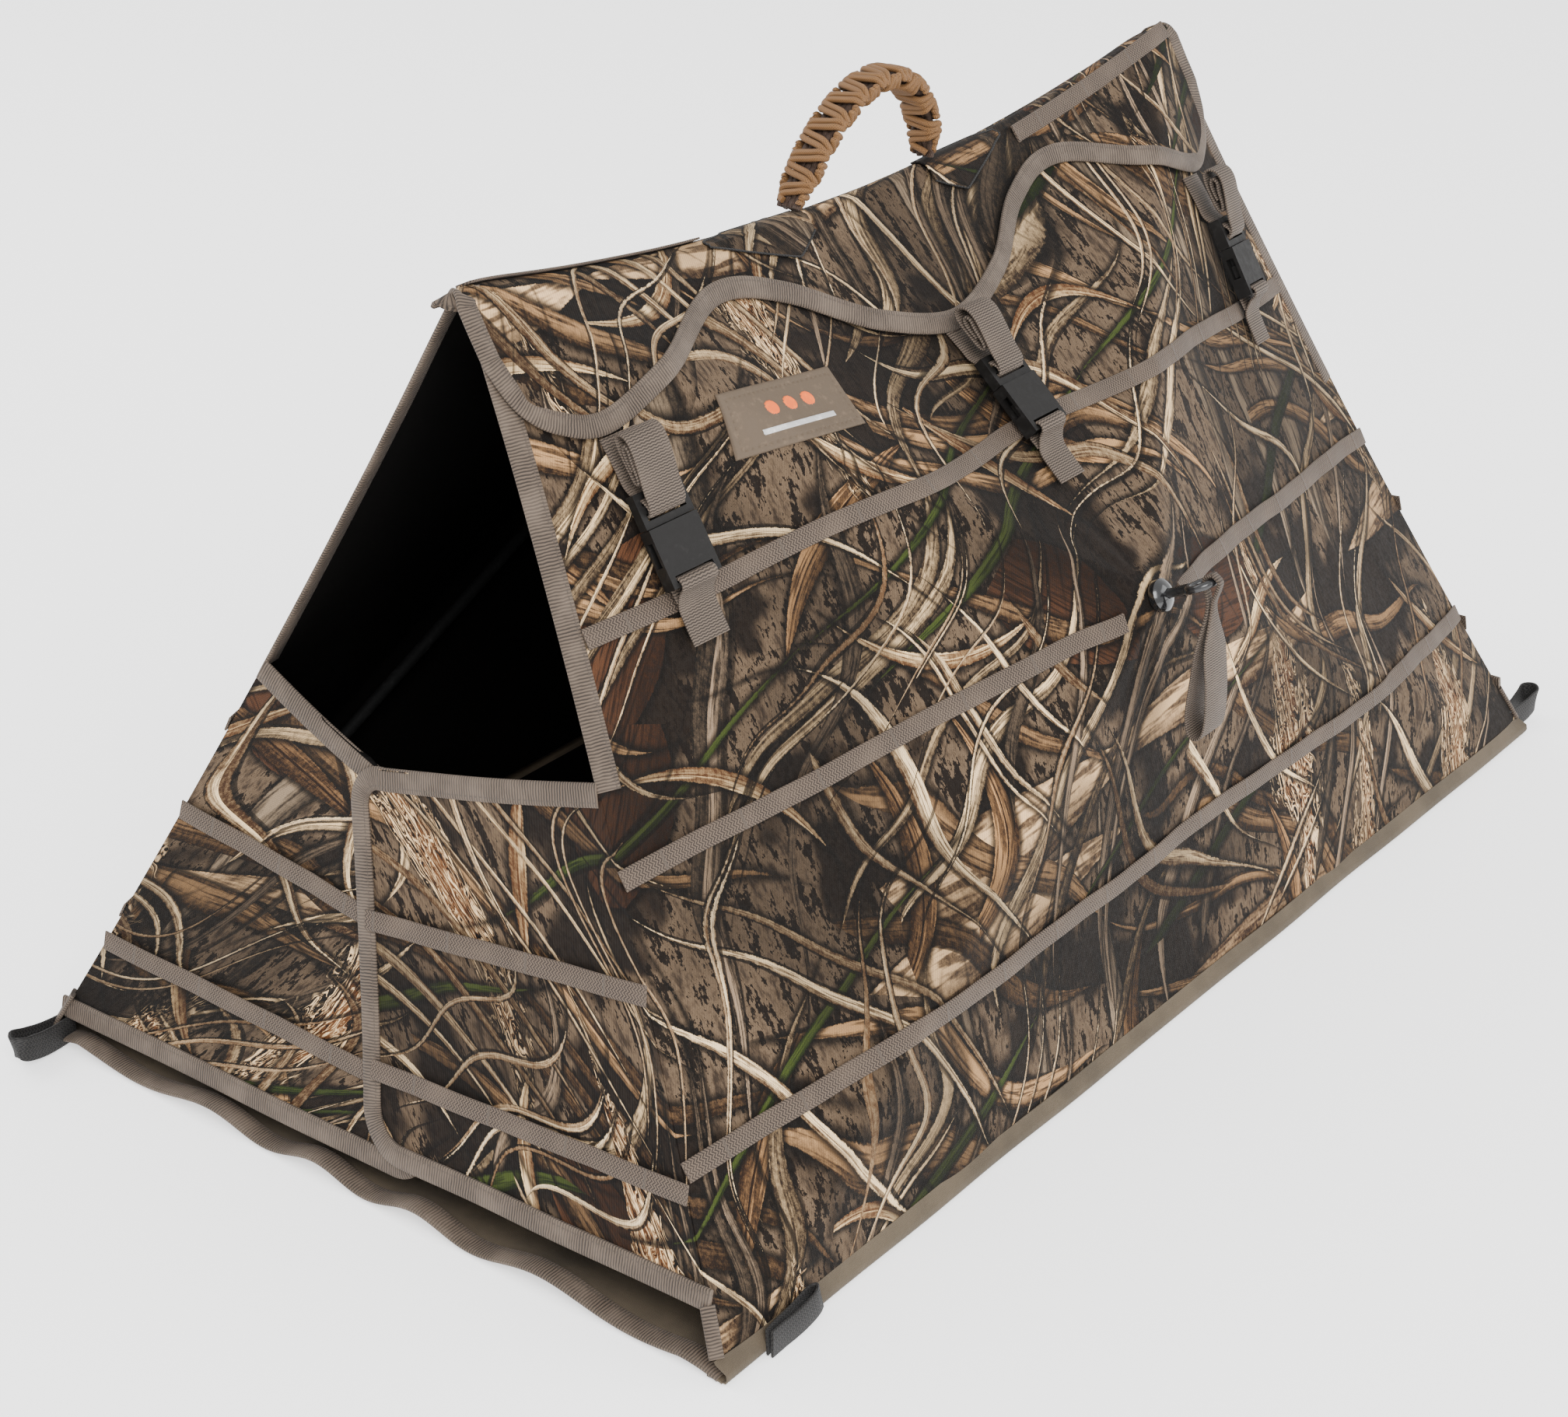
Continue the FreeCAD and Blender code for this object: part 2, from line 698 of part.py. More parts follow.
def make_door(label, points, sign, frame, low):
    """One door leaf with its bound edges and its two rows of stubble strap."""
    high = low + fabric
    face = door_face(points, sign)
    free = [(sign * across, z * end_rise) for across, z in points[1:3]]
    corner = size("door_corner")
    leaf = rounded(face, free, low, high, corner)
    feature(label, leaf, frame)
    trim_low, trim_high = high + 0.2, high + 0.2 + size("strap_thickness")
    whole = rounded(face, free, trim_low, trim_high, corner)
    inside_face = face.makeOffset2D(-binding)
    inside = inside_face.copy()
    inside.translate(Vector(0, 0, trim_low - 1))
    hollow = inside.extrude(Vector(0, 0, trim_high - trim_low + 2))
    rows = []
    for level in (0.30, 0.62):
        bottom = level * size("door_height") * end_rise
        row = Part.makeBox(2 * half_width, strap, 50, Vector(-half_width, bottom, trim_low - 25))
        rows.append(row)
    trim = whole.cut(hollow.cut(rows[0].fuse(rows[1])))
    feature(f"{label}_webbing", trim, frame)


def make_doors():
    """At each end an outer leaf on the front panel laps over an inner leaf on the rear panel."""
    clear = size("door_gap")
    tall = size("door_height")
    outer = [(door_edge(33) - clear, 33), (4, 30), (-50, 238), (door_edge(tall) - clear, tall)]
    inner = [(door_edge(20) - clear, 20), (-50, 22), (4, 236), (door_edge(tall - 4) - clear, tall - 4)]
    for end, frame, front_sign in (("left", left_end_frame, 1), ("right", right_end_frame, -1)):
        make_door(f"{end}_outer_door", outer, front_sign, frame, size("outer_door_lift"))
        make_door(f"{end}_inner_door", inner, -front_sign, frame, -fabric)


# ---- handle, ridge trim and stake loops ------------------------------------------------------------

def arch_pad(name, from_angle, to_angle, width):
    """One stretch of the handle's arch: a padded sketch of two concentric arcs between two angles."""
    half_span, rise = size("handle_span") / 2, size("handle_rise")
    radius = (half_span ** 2 + rise ** 2) / (2 * rise)
    centre_z = rise - radius
    body = doc.addObject("PartDesign::Body", name)
    sketch = body.newObject("Sketcher::SketchObject", f"{name}_sketch")
    plane = next(p for p in body.Origin.OriginFeatures if p.Role == "XZ_Plane")
    sketch.AttachmentSupport = [(plane, "")]
    sketch.MapMode = "FlatFace"
    low, high = math.pi / 2 - to_angle, math.pi / 2 - from_angle
    ends = []
    for side in (0.5, -0.5):
        reach = radius + side * size("handle_thickness")
        circle = Part.Circle(Vector(0, centre_z, 0), Vector(0, 0, 1), reach)
        sketch.addGeometry(Part.ArcOfCircle(circle, low, high), False)
        ends.append([Vector(reach * math.cos(a), centre_z + reach * math.sin(a), 0) for a in (low, high)])
    for outer_end, inner_end in zip(*ends):
        sketch.addGeometry(Part.LineSegment(outer_end, inner_end), False)
    pad = body.newObject("PartDesign::Pad", f"{name}_pad")
    pad.Profile = sketch
    bind(pad, Length=width)
    pad.Midplane = True
    body.Tip = pad
    return body


def make_handle():
    """The braided arch, with a narrower foot at each end."""
    half_span, rise = size("handle_span") / 2, size("handle_rise")
    radius = (half_span ** 2 + rise ** 2) / (2 * rise)
    end_angle = math.asin(half_span / radius)
    foot_start = end_angle - size("handle_foot_length") / radius
    parts = [
        arch_pad("handle_braid", -foot_start, foot_start, "handle_width"),
        arch_pad("handle_right_foot", foot_start, end_angle, "handle_foot"),
        arch_pad("handle_left_foot", -end_angle, -foot_start, "handle_foot"),
    ]
    node(fuse("carry_handle", parts), "carry_handle", move(z=size("handle_axis")))


def make_ridge_trim():
    """The handle's triangular anchor patches and the two short stubble straps, on the rear of the ridge."""
    anchors, straps = [], []
    for sign in (-1, 1):
        inner_x, outer_x = sign * size("anchor_inner"), sign * size("anchor_outer")
        top = [(x, ridge_point(x).y - seam) for x in (inner_x, outer_x)]
        low = [(outer_x, top[1][1] - size("anchor_outer_drop")),
               (inner_x + sign * size("anchor_point"), top[0][1] - size("anchor_point_drop")),
               (inner_x, top[0][1] - size("anchor_inner_drop"))]
        anchors.append(on_panel(flat_outline(top + low), gap, gap + size("webbing")))
        near, far = sign * (size("anchor_outer") + seam), sign * (half_ridge - binding - 2)
        line = [(x, ridge_point(x).y - strap) for x in (near, far)]
        straps.append(band(line[0], line[1], strap, strap_low, strap_high))
    feature("handle_anchors", Part.makeCompound(anchors), rear_frame)
    feature("ridge_stubble_straps", Part.makeCompound(straps), rear_frame)


def make_stake_loops():
    """A webbing loop standing on edge at each corner of the floor, for a ground stake."""
    web, tall = size("webbing"), size("stake_loop_height")
    long, wide = size("stake_loop_length"), size("stake_loop_width")
    round_end = wide / 2
    loops = []
    for x_sign in (-1, 1):
        for y_sign in (-1, 1):
            shell = Part.makeBox(long - round_end, wide, tall, Vector(0, -wide / 2, 0))
            shell = shell.fuse(Part.makeCylinder(round_end, tall, Vector(long - round_end, 0, 0)))
            hole = Part.makeBox(long - round_end - web, wide - 2 * web, tall, Vector(web, web - wide / 2, 0))
            hole = hole.fuse(Part.makeCylinder(round_end - web, tall, Vector(long - round_end, 0, 0)))
            loop = shell.cut(hole)
            corner = Vector(x_sign * (half_base + gap), y_sign * (half_width - round_end - 1), 0)
            loop.Placement = Placement(corner, Rotation(Vector(0, 0, 1), 90 - 90 * x_sign))
            loops.append(loop)
    feature("stake_loops", Part.makeCompound(loops))


# ---- build and export -----------------------------------------------------------------------------

make_floor()
make_panel("rear", rear_frame, 0)
make_panel("front", front_frame, size("panel_top_gap"))
for side, frame in (("rear", rear_frame), ("front", front_frame)):
    make_stubble_straps(side, frame)
    make_hub_set(side, frame)
make_roof_flap()
make_buckles()
make_patch()
make_doors()
make_handle()
make_ridge_trim()
make_stake_loops()
doc.recompute()

for item in doc.Objects:
    if "Invalid" in item.State or "Error" in item.State:
        raise RuntimeError(f"{item.Label} did not compute: {item.State}")
os.makedirs("parts", exist_ok=True)
for item in nodes:
    if item.Shape.isNull() or not item.Shape.isValid():
        raise RuntimeError(f"{item.Label} has no valid shape")
    item.Shape.exportStep(f"parts/{item.Label}.step")
    print(item.Label, len(item.Shape.Solids), round(item.Shape.Volume))
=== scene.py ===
"""Looks of the pop-up field blind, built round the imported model.

Metres; +X runs along the ridge, -Y is the front with the buckles, +Z is up. A side panel has a frame of
its own: x along the ridge, v up the slope and n straight out. The rear panel is the front one turned
half round."""
import math

import bpy
import numpy as np
from mathutils import Matrix, Vector


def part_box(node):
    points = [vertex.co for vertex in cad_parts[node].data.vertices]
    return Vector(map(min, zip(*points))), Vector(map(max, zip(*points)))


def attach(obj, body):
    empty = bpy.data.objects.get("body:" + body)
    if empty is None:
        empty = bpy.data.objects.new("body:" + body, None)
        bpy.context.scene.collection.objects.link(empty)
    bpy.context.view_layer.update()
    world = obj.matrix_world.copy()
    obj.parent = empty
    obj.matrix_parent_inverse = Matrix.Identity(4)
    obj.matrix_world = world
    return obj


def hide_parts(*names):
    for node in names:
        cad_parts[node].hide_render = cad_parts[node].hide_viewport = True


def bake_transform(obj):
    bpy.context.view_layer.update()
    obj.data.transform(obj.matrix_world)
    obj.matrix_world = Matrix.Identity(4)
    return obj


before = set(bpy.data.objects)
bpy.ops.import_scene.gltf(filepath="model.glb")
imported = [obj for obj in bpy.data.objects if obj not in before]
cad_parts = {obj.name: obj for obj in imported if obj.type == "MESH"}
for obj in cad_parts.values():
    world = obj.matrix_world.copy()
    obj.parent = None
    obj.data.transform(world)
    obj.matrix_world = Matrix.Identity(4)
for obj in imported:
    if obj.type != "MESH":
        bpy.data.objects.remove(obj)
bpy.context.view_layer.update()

HEIGHT = 0.510
HALF_BASE = 0.467
HALF_RIDGE = 0.3435
HALF_WIDTH = 0.268
RIDGE_SAG = 0.033
HUB_UP = 0.257
HUB_RISE = 0.088
EDGE_BOW = 0.013
SLOPE = math.hypot(HEIGHT, HALF_WIDTH)
SIN = HEIGHT / SLOPE
COS = HALF_WIDTH / SLOPE
EDGE_RUN = (HALF_BASE - HALF_RIDGE) / SLOPE
END_LEAN = math.atan2(HALF_BASE - HALF_RIDGE, HEIGHT)
CLOTH = 0.0012
BINDING = 0.0135
NARROW_BINDING = 0.0125
STRAP = 0.012
STRAP_THICK = 0.0013
WEBBING = 0.025
WEBBING_THICK = 0.0016
BAND_TOP = 0.011
DOOR_TOP = 0.273
DOOR_CORNER = 0.026
FLAP_HALF = 0.3525
FLAP_LIFT = 0.003


# ---- mesh helpers -------------------------------------------------------------------------------

class Shape:
    """Collects points, faces and cloth coordinates for one piece."""

    def __init__(self):
        self.points, self.faces, self.uvs, self.slots = [], [], [], []

    def add(self, points, faces, uvs, slot=0):
        base = len(self.points)
        self.points.extend(np.asarray(points, float).reshape(-1, 3).tolist())
        self.uvs.extend(np.asarray(uvs, float).reshape(-1, 2).tolist())
        self.faces.extend([[base + i for i in f] for f in faces])
        self.slots.extend([slot] * len(faces))

    def make(self, name, materials):
        mesh = bpy.data.meshes.new(name)
        mesh.from_pydata(self.points, [], self.faces)
        layer = mesh.uv_layers.new(name="cloth")
        corners = np.zeros(len(mesh.loops), np.int32)
        mesh.loops.foreach_get("vertex_index", corners)
        layer.data.foreach_set("uv", np.array(self.uvs, np.float32)[corners].ravel())
        mesh.polygons.foreach_set("material_index", self.slots)
        mesh.polygons.foreach_set("use_smooth", [True] * len(mesh.polygons))
        for material in materials:
            mesh.materials.append(material)
        mesh.validate()
        mesh.update()
        piece = bpy.data.objects.new(name, mesh)
        bpy.context.scene.collection.objects.link(piece)
        return piece


def grid_faces(rows, columns, flip=False):
    faces = []
    for i in range(rows - 1):
        for j in range(columns - 1):
            a = i * columns + j
            face = [a, a + 1, a + columns + 1, a + columns]
            faces.append(face[::-1] if flip else face)
    return faces


def grid_rim(rows, columns):
    """Grid indices once round the border, ending where they began."""
    loop = [(0, j) for j in range(columns)] + [(i, columns - 1) for i in range(1, rows)]
    loop += [(rows - 1, j) for j in range(columns - 2, -1, -1)] + [(i, 0) for i in range(rows - 2, 0, -1)]
    return loop + loop[:1]


def unit(a):
    """Vectors scaled to length one."""
    return a / np.maximum(np.linalg.norm(a, axis=-1, keepdims=True), 1e-12)


def grid_normals(points):
    """Normals of a grid of points, out of the side that its faces wind round."""
    return unit(np.cross(np.gradient(points, axis=1), np.gradient(points, axis=0)))


def add_cloth(shape, points, uvs, thickness=CLOTH, flip=False, slots=(0, 1)):
    """A cloth with two faces and closed edges from a grid; the grid is its outer face."""
    rows, columns = points.shape[:2]
    normals = grid_normals(points) * (-1 if flip else 1)
    inner = points - normals * thickness
    shape.add(points, grid_faces(rows, columns, flip), uvs, slots[0])
    shape.add(inner, grid_faces(rows, columns, not flip), uvs, slots[1])
    loop = grid_rim(rows, columns)
    edge = np.array([[points[i, j], inner[i, j]] for i, j in loop])
    edge_uv = np.array([[uvs[i, j], uvs[i, j]] for i, j in loop])
    shape.add(edge, grid_faces(len(loop), 2, flip), edge_uv, slots[0])


def add_sweep(shape, path, across, normal, profile, slot=0, widths=None):
    """A closed profile (across, normal) carried along a path; its u is the path's length."""
    path, across, normal = (np.asarray(a, float) for a in (path, across, normal))
    profile = np.asarray(profile, float)
    count, sides = len(path), len(profile)
    scale = np.ones((count, 2)) if widths is None else np.asarray(widths, float)
    ring = np.arange(sides + 1) % sides
    a = profile[ring, 0][None, :, None] * scale[:, 0][:, None, None]
    b = profile[ring, 1][None, :, None] * scale[:, 1][:, None, None]
    points = path[:, None, :] + a * across[:, None, :] + b * normal[:, None, :]
    run = np.concatenate([[0], np.cumsum(np.linalg.norm(np.diff(path, axis=0), axis=1))])
    lap = np.concatenate([[0], np.cumsum(np.linalg.norm(np.diff(profile[ring], axis=0), axis=1))])
    uvs = np.stack(np.meshgrid(run, lap, indexing="ij"), -1)
    turned = np.dot(np.cross(across[0], normal[0]), path[1] - path[0])
    area = sum(profile[i, 0] * profile[(i + 1) % sides, 1] - profile[(i + 1) % sides, 0] * profile[i, 1]
               for i in range(sides))
    flip = (turned > 0) == (area > 0)
    shape.add(points, grid_faces(count, sides + 1, flip), uvs, slot)
    for index, way in ((0, True), (count - 1, False)):
        cap = list(range(sides))
        shape.add(points[index, :sides], [cap[::-1] if way == flip else cap], uvs[index, :sides], slot)


def rounded_profile(width, thickness, steps=3):
    """A flat strap's cross-section with round edges."""
    half, r = width / 2, thickness / 2
    outline = []
    for side, first in ((1, -math.pi / 2), (-1, math.pi / 2)):
        for k in range(steps + 1):
            angle = first + math.pi * k / steps
            outline.append((side * (half - r) + r * math.cos(angle), r * math.sin(angle)))
    return outline


def path_frames(path, normals, inward=None):
    """Unit vectors across a path and its normals made square to it; inward picks the side."""
    path = np.asarray(path, float)
    tangent = unit(np.gradient(path, axis=0))
    normals = np.asarray(normals, float)
    normals = unit(normals - (normals * tangent).sum(-1, keepdims=True) * tangent)
    across = unit(np.cross(normals, tangent))
    if inward is not None:
        middle = len(path) // 2
        if np.dot(across[middle], np.broadcast_to(inward, path.shape)[middle] - path[middle]) < 0:
            across = -across
    return across, normals


def spline(points, count):
    """Points evenly spaced along a smooth curve through the given ones."""
    p = np.asarray(points, float)
    padded = np.vstack([2 * p[0] - p[1], p, 2 * p[-1] - p[-2]])
    fine = []
    for i in range(1, len(padded) - 2):
        a, b, c, d = padded[i - 1], padded[i], padded[i + 1], padded[i + 2]
        for t in np.linspace(0, 1, 24, endpoint=False):
            fine.append(0.5 * (2 * b + (c - a) * t + (2 * a - 5 * b + 4 * c - d) * t * t
                               + (3 * b - 3 * c + d - a) * t ** 3))
    fine.append(p[-1])
    return resample(np.array(fine), count)


def resample(path, count):
    """The same line with evenly spaced points."""
    path = np.asarray(path, float)
    run = np.concatenate([[0], np.cumsum(np.linalg.norm(np.diff(path, axis=0), axis=1))])
    where = np.linspace(0, run[-1], count)
    return np.stack([np.interp(where, run, path[:, k]) for k in range(path.shape[1])], 1)


def ripple(points, scale, seed):
    """Smooth noise of about -1 to 1 at points, with features about as wide as scale."""
    places = np.asarray(points, float)
    chance = np.random.default_rng(int(seed * 7.0) % 9973)
    total = np.zeros(places.shape[:-1])
    for _ in range(7):
        way = chance.normal(size=places.shape[-1])
        way = way / np.linalg.norm(way) * chance.uniform(0.6, 1.5) * math.pi / scale
        total = total + np.sin(places @ way + chance.uniform(0, 2 * math.pi))
    return total / 3.0


# ---- the tent's surface -----------------------------------------------------------------------------

def side_edge(v):
    """Half the panel's length at v up the slope; the cut edges bow inwards."""
    share = np.asarray(v, float) / SLOPE
    return HALF_BASE - (HALF_BASE - HALF_RIDGE) * share - EDGE_BOW * 4 * share * (1 - share)


def ridge_v(x):
    """The sagging ridge's place up the slope at x."""
    return SLOPE - RIDGE_SAG * SIN * (1 - (np.asarray(x, float) / HALF_RIDGE) ** 2)


def surface(x, v, seed=1.0, creased=True):
    """Height n of the stretched cloth above the panel's flat frame."""
    x, v = np.broadcast_arrays(np.asarray(x, float), np.asarray(v, float))
    up = v - HUB_UP
    low = -up / HUB_UP
    share = np.clip(v / SLOPE, 0, 1)
    side_size = HALF_BASE - EDGE_RUN * HUB_UP
    side = (np.abs(x) + EDGE_RUN * up) / side_size
    side = side * (1 + EDGE_BOW * 4 * share * (1 - share) / side_size * np.clip(side, 0, 1))
    sag = RIDGE_SAG * SIN
    top_size = SLOPE - sag - HUB_UP
    root = np.sqrt(np.maximum(up ** 2 - 4 * sag * x ** 2 / HALF_RIDGE ** 2 * top_size, 0))
    top = np.where(up > 0, (up + root) / (2 * top_size), up / top_size)
    soft = 0.022
    stack = np.stack([low, side, top])
    t = soft * np.log(np.exp(stack / soft).sum(0))
    t = t - soft * math.log(4) * np.exp(-(np.maximum(t, 0) / 0.12) ** 2)
    ridge_n = -RIDGE_SAG * COS * (1 - np.clip(np.abs(x) / np.maximum(t, 1e-3) / HALF_RIDGE, 0, 1) ** 2)
    share_top = np.exp(top / soft) / np.exp(stack / soft).sum(0)
    n = HUB_RISE * (1 - t) + ridge_n * np.clip(t, 0, 1) * share_top
    order = np.sort(stack, axis=0)
    between = np.clip((order[2] - order[1]) / np.maximum(t, 0.05), 0, 1)
    span = np.clip(t * (1.04 - t) * 4, 0, 1)
    n = n - 0.0035 * between ** 0.7 * span
    if creased:
        places = np.stack([x, v, np.zeros_like(x)], -1)
        n = n + 0.0011 * span * ripple(places, 0.11, seed) + 0.0005 * span * ripple(places, 0.035, seed + 7)
        angle = np.arctan2(up, x)
        radius = np.hypot(x, up)
        n = n + 0.0009 * np.sin(11 * angle + 2 * np.sin(3 * angle)) * np.exp(-((radius - 0.03) / 0.035) ** 2)
    return n


def to_world(side, x, v, n):
    """World points from a side panel's own x, v and n."""
    x, v, n = np.broadcast_arrays(*(np.asarray(a, float) for a in (x, v, n)))
    points = np.stack([x, -HALF_WIDTH + v * COS - n * SIN, v * SIN + n * COS], -1)
    return points * (np.array([-1, -1, 1]) if side == "rear" else 1)


def on_surface(side, x, v, lift=0.0):
    """World points on a side panel's cloth, lifted off it."""
    return to_world(side, x, v, surface(x, v, 1.0 if side == "front" else 5.0) + lift)


def surface_normal(side, x, v):
    """Outward normals of a side panel's cloth."""
    step = 0.002
    along = on_surface(side, np.asarray(x) + step, v) - on_surface(side, np.asarray(x) - step, v)
    up = on_surface(side, x, np.asarray(v) + step) - on_surface(side, x, np.asarray(v) - step)
    return unit(np.cross(along, up))


def end_point(hand, y, z, out=0.0):
    """A point on an end of the tent, hand -1 left or +1 right, at y and z, out from the cloth."""
    y, z, out = np.broadcast_arrays(*(np.asarray(a, float) for a in (y, z, out)))
    share = z / HEIGHT
    x = HALF_BASE - (HALF_BASE - HALF_RIDGE) * share - EDGE_BOW * 4 * share * (1 - share)
    return np.stack([hand * (x + out * math.cos(END_LEAN)), y, z + out * math.sin(END_LEAN)], -1)


# ---- materials --------------------------------------------------------------------------------------

class Nodes:
    """Short calls for building a material's node tree."""

    def __init__(self, name):
        self.material = bpy.data.materials.new(name)
        self.material.use_nodes = True
        self.tree = self.material.node_tree
        self.shader = self.tree.nodes["Principled BSDF"]
        self.cloth = self.tree.nodes.new("ShaderNodeUVMap").outputs["UV"]

    def put(self, socket, value):
        if isinstance(value, bpy.types.NodeSocket):
            self.tree.links.new(value, socket)
        elif isinstance(value, (tuple, list)):
            socket.default_value = (*value, 1.0) if len(value) == 3 and socket.type == "RGBA" else value
        else:
            socket.default_value = value

    def math(self, operation, a, b=0.0, c=0.0, clamp=False):
        node = self.tree.nodes.new("ShaderNodeMath")
        node.operation = operation
        node.use_clamp = clamp
        for socket, value in zip(node.inputs, (a, b, c)):
            self.put(socket, value)
        return node.outputs[0]

    def mul(self, a, b):
        return self.math("MULTIPLY", a, b)

    def add(self, a, b):
        return self.math("ADD", a, b)

    def sub(self, a, b):
        return self.math("SUBTRACT", a, b)

    def size(self, a):
        return self.math("ABSOLUTE", a)

    def fma(self, a, b, c, clamp=False):
        """a times b, plus c."""
        return self.math("MULTIPLY_ADD", a, b, c, clamp)

    def vector(self, operation, a, b=(0, 0, 0), c=(0, 0, 0)):
        node = self.tree.nodes.new("ShaderNodeVectorMath")
        node.operation = operation
        for socket, value in zip(node.inputs, (a, b, c)):
            self.put(socket, value)
        return node.outputs["Value"] if operation in ("LENGTH", "DOT_PRODUCT") else node.outputs[0]

    def split(self, vector):
        node = self.tree.nodes.new("ShaderNodeSeparateXYZ")
        self.put(node.inputs[0], vector)
        return node.outputs[0], node.outputs[1], node.outputs[2]

    def join(self, x, y, z=0.0):
        node = self.tree.nodes.new("ShaderNodeCombineXYZ")
        for socket, value in zip(node.inputs, (x, y, z)):
            self.put(socket, value)
        return node.outputs[0]

    def noise(self, vector, scale, detail=2.0, rough=0.5, colour=False, solid=False):
        node = self.tree.nodes.new("ShaderNodeTexNoise")
        node.noise_dimensions = "3D" if solid else "2D"
        self.put(node.inputs["Vector"], vector)
        node.inputs["Scale"].default_value = scale
        node.inputs["Detail"].default_value = detail
        node.inputs["Roughness"].default_value = rough
        return node.outputs["Color" if colour else 0]

    def cells(self, vector, scale=1.0):
        """Distance, random colour and centre of 2-D cells."""
        node = self.tree.nodes.new("ShaderNodeTexVoronoi")
        node.voronoi_dimensions = "2D"
        self.put(node.inputs["Vector"], vector)
        node.inputs["Scale"].default_value = scale
        return node.outputs["Distance"], node.outputs["Color"], node.outputs["Position"]

    def ramp(self, value, low, high, start=0.0, end=1.0, smooth=True):
        node = self.tree.nodes.new("ShaderNodeMapRange")
        node.interpolation_type = "SMOOTHSTEP" if smooth else "LINEAR"
        for index, item in enumerate((value, low, high, start, end)):
            self.put(node.inputs[index], item)
        return node.outputs[0]

    def mix(self, share, a, b, blend="MIX"):
        node = self.tree.nodes.new("ShaderNodeMix")
        node.data_type = "RGBA"
        node.blend_type = blend
        self.put(node.inputs[0], share)
        self.put(node.inputs[6], a)
        self.put(node.inputs[7], b)
        return node.outputs[2]

    def bump(self, height, distance, strength=1.0, under=None):
        node = self.tree.nodes.new("ShaderNodeBump")
        self.put(node.inputs["Height"], height)
        node.inputs["Distance"].default_value = distance
        node.inputs["Strength"].default_value = strength
        if under is not None:
            self.put(node.inputs["Normal"], under)
        return node.outputs[0]

    def wave(self, value, pitch):
        """A smooth wave from 0 to 1 with the given pitch."""
        turned = self.math("MULTIPLY", value, 2 * math.pi / pitch)
        return self.math("MULTIPLY_ADD", self.math("SINE", turned), 0.5, 0.5)

    def done(self, colour, rough, normal=None, sheen=0.0, specular=0.3):
        self.put(self.shader.inputs["Base Color"], colour)
        self.put(self.shader.inputs["Roughness"], rough)
        self.shader.inputs["Specular IOR Level"].default_value = specular
        if sheen:
            self.shader.inputs["Sheen Weight"].default_value = sheen
            self.shader.inputs["Sheen Roughness"].default_value = 0.5
        if normal is not None:
            self.put(self.shader.inputs["Normal"], normal)
        return self.material


def spread(n, share, tone_low, tone_high):
    """A random share turned into a brightness between two tones."""
    return n.fma(share, tone_high - tone_low, tone_low)


def reeds(n, print_map, under, angle, length, width, bend, keep, dark, light, seed, fill=0.42):
    """A layer of long printed reeds over a colour: stretched cells of one direction, bent by noise."""
    place = n.vector("MULTIPLY_ADD", print_map["warp"], (bend, bend * 0.8, 0), print_map["cloth"])
    x, y, _ = n.split(place)
    c, s = math.cos(math.radians(angle)), math.sin(math.radians(angle))
    along = n.fma(x, c / length, n.fma(y, s / length, seed))
    over = n.fma(x, -s / width, n.fma(y, c / width, seed * 3))
    _, colour, centre = n.cells(n.join(along, over))
    pick, tone, size = n.split(colour)
    cx, cy, _ = n.split(centre)
    offset = n.sub(over, cy)
    lengthwise = n.sub(along, cx)
    reach = spread(n, size, fill - 0.20, fill + 0.08)
    taper = n.sub(1.0, n.math("POWER", n.size(n.mul(lengthwise, 2.0)), 1.6))
    inside = n.sub(n.mul(reach, taper), n.size(offset))
    inside = n.fma(print_map["grit"], 0.0022 / width, inside)
    kept = n.math("LESS_THAN", pick, keep)
    mask = n.mul(n.ramp(inside, 0.0, 0.0006 / width), kept)
    across_reed = n.math("DIVIDE", offset, reach)
    round_shade = n.ramp(across_reed, -0.9, 0.1, smooth=False)
    far_shade = n.ramp(across_reed, 0.55, 1.0)
    streak = n.noise(n.join(n.mul(along, 7.0), n.mul(over, 8.0)), 1.0, 2.0, 0.75)
    value = n.mul(n.sub(round_shade, n.mul(far_shade, 0.8)), spread(n, tone, 0.10, 1.25))
    value = n.mul(value, n.ramp(streak, 0.36, 0.58, 0.22, 1.1))
    value = n.fma(print_map["grit"], 0.9, value, clamp=True)
    shade = n.mix(value, dark, light)
    shadow = n.mul(n.ramp(inside, -0.0045 / width, 0.0), kept)
    under = n.mix(n.mul(shadow, 0.85), under, BLACK_INK_AND_SHADE)
    return n.mix(mask, under, shade)


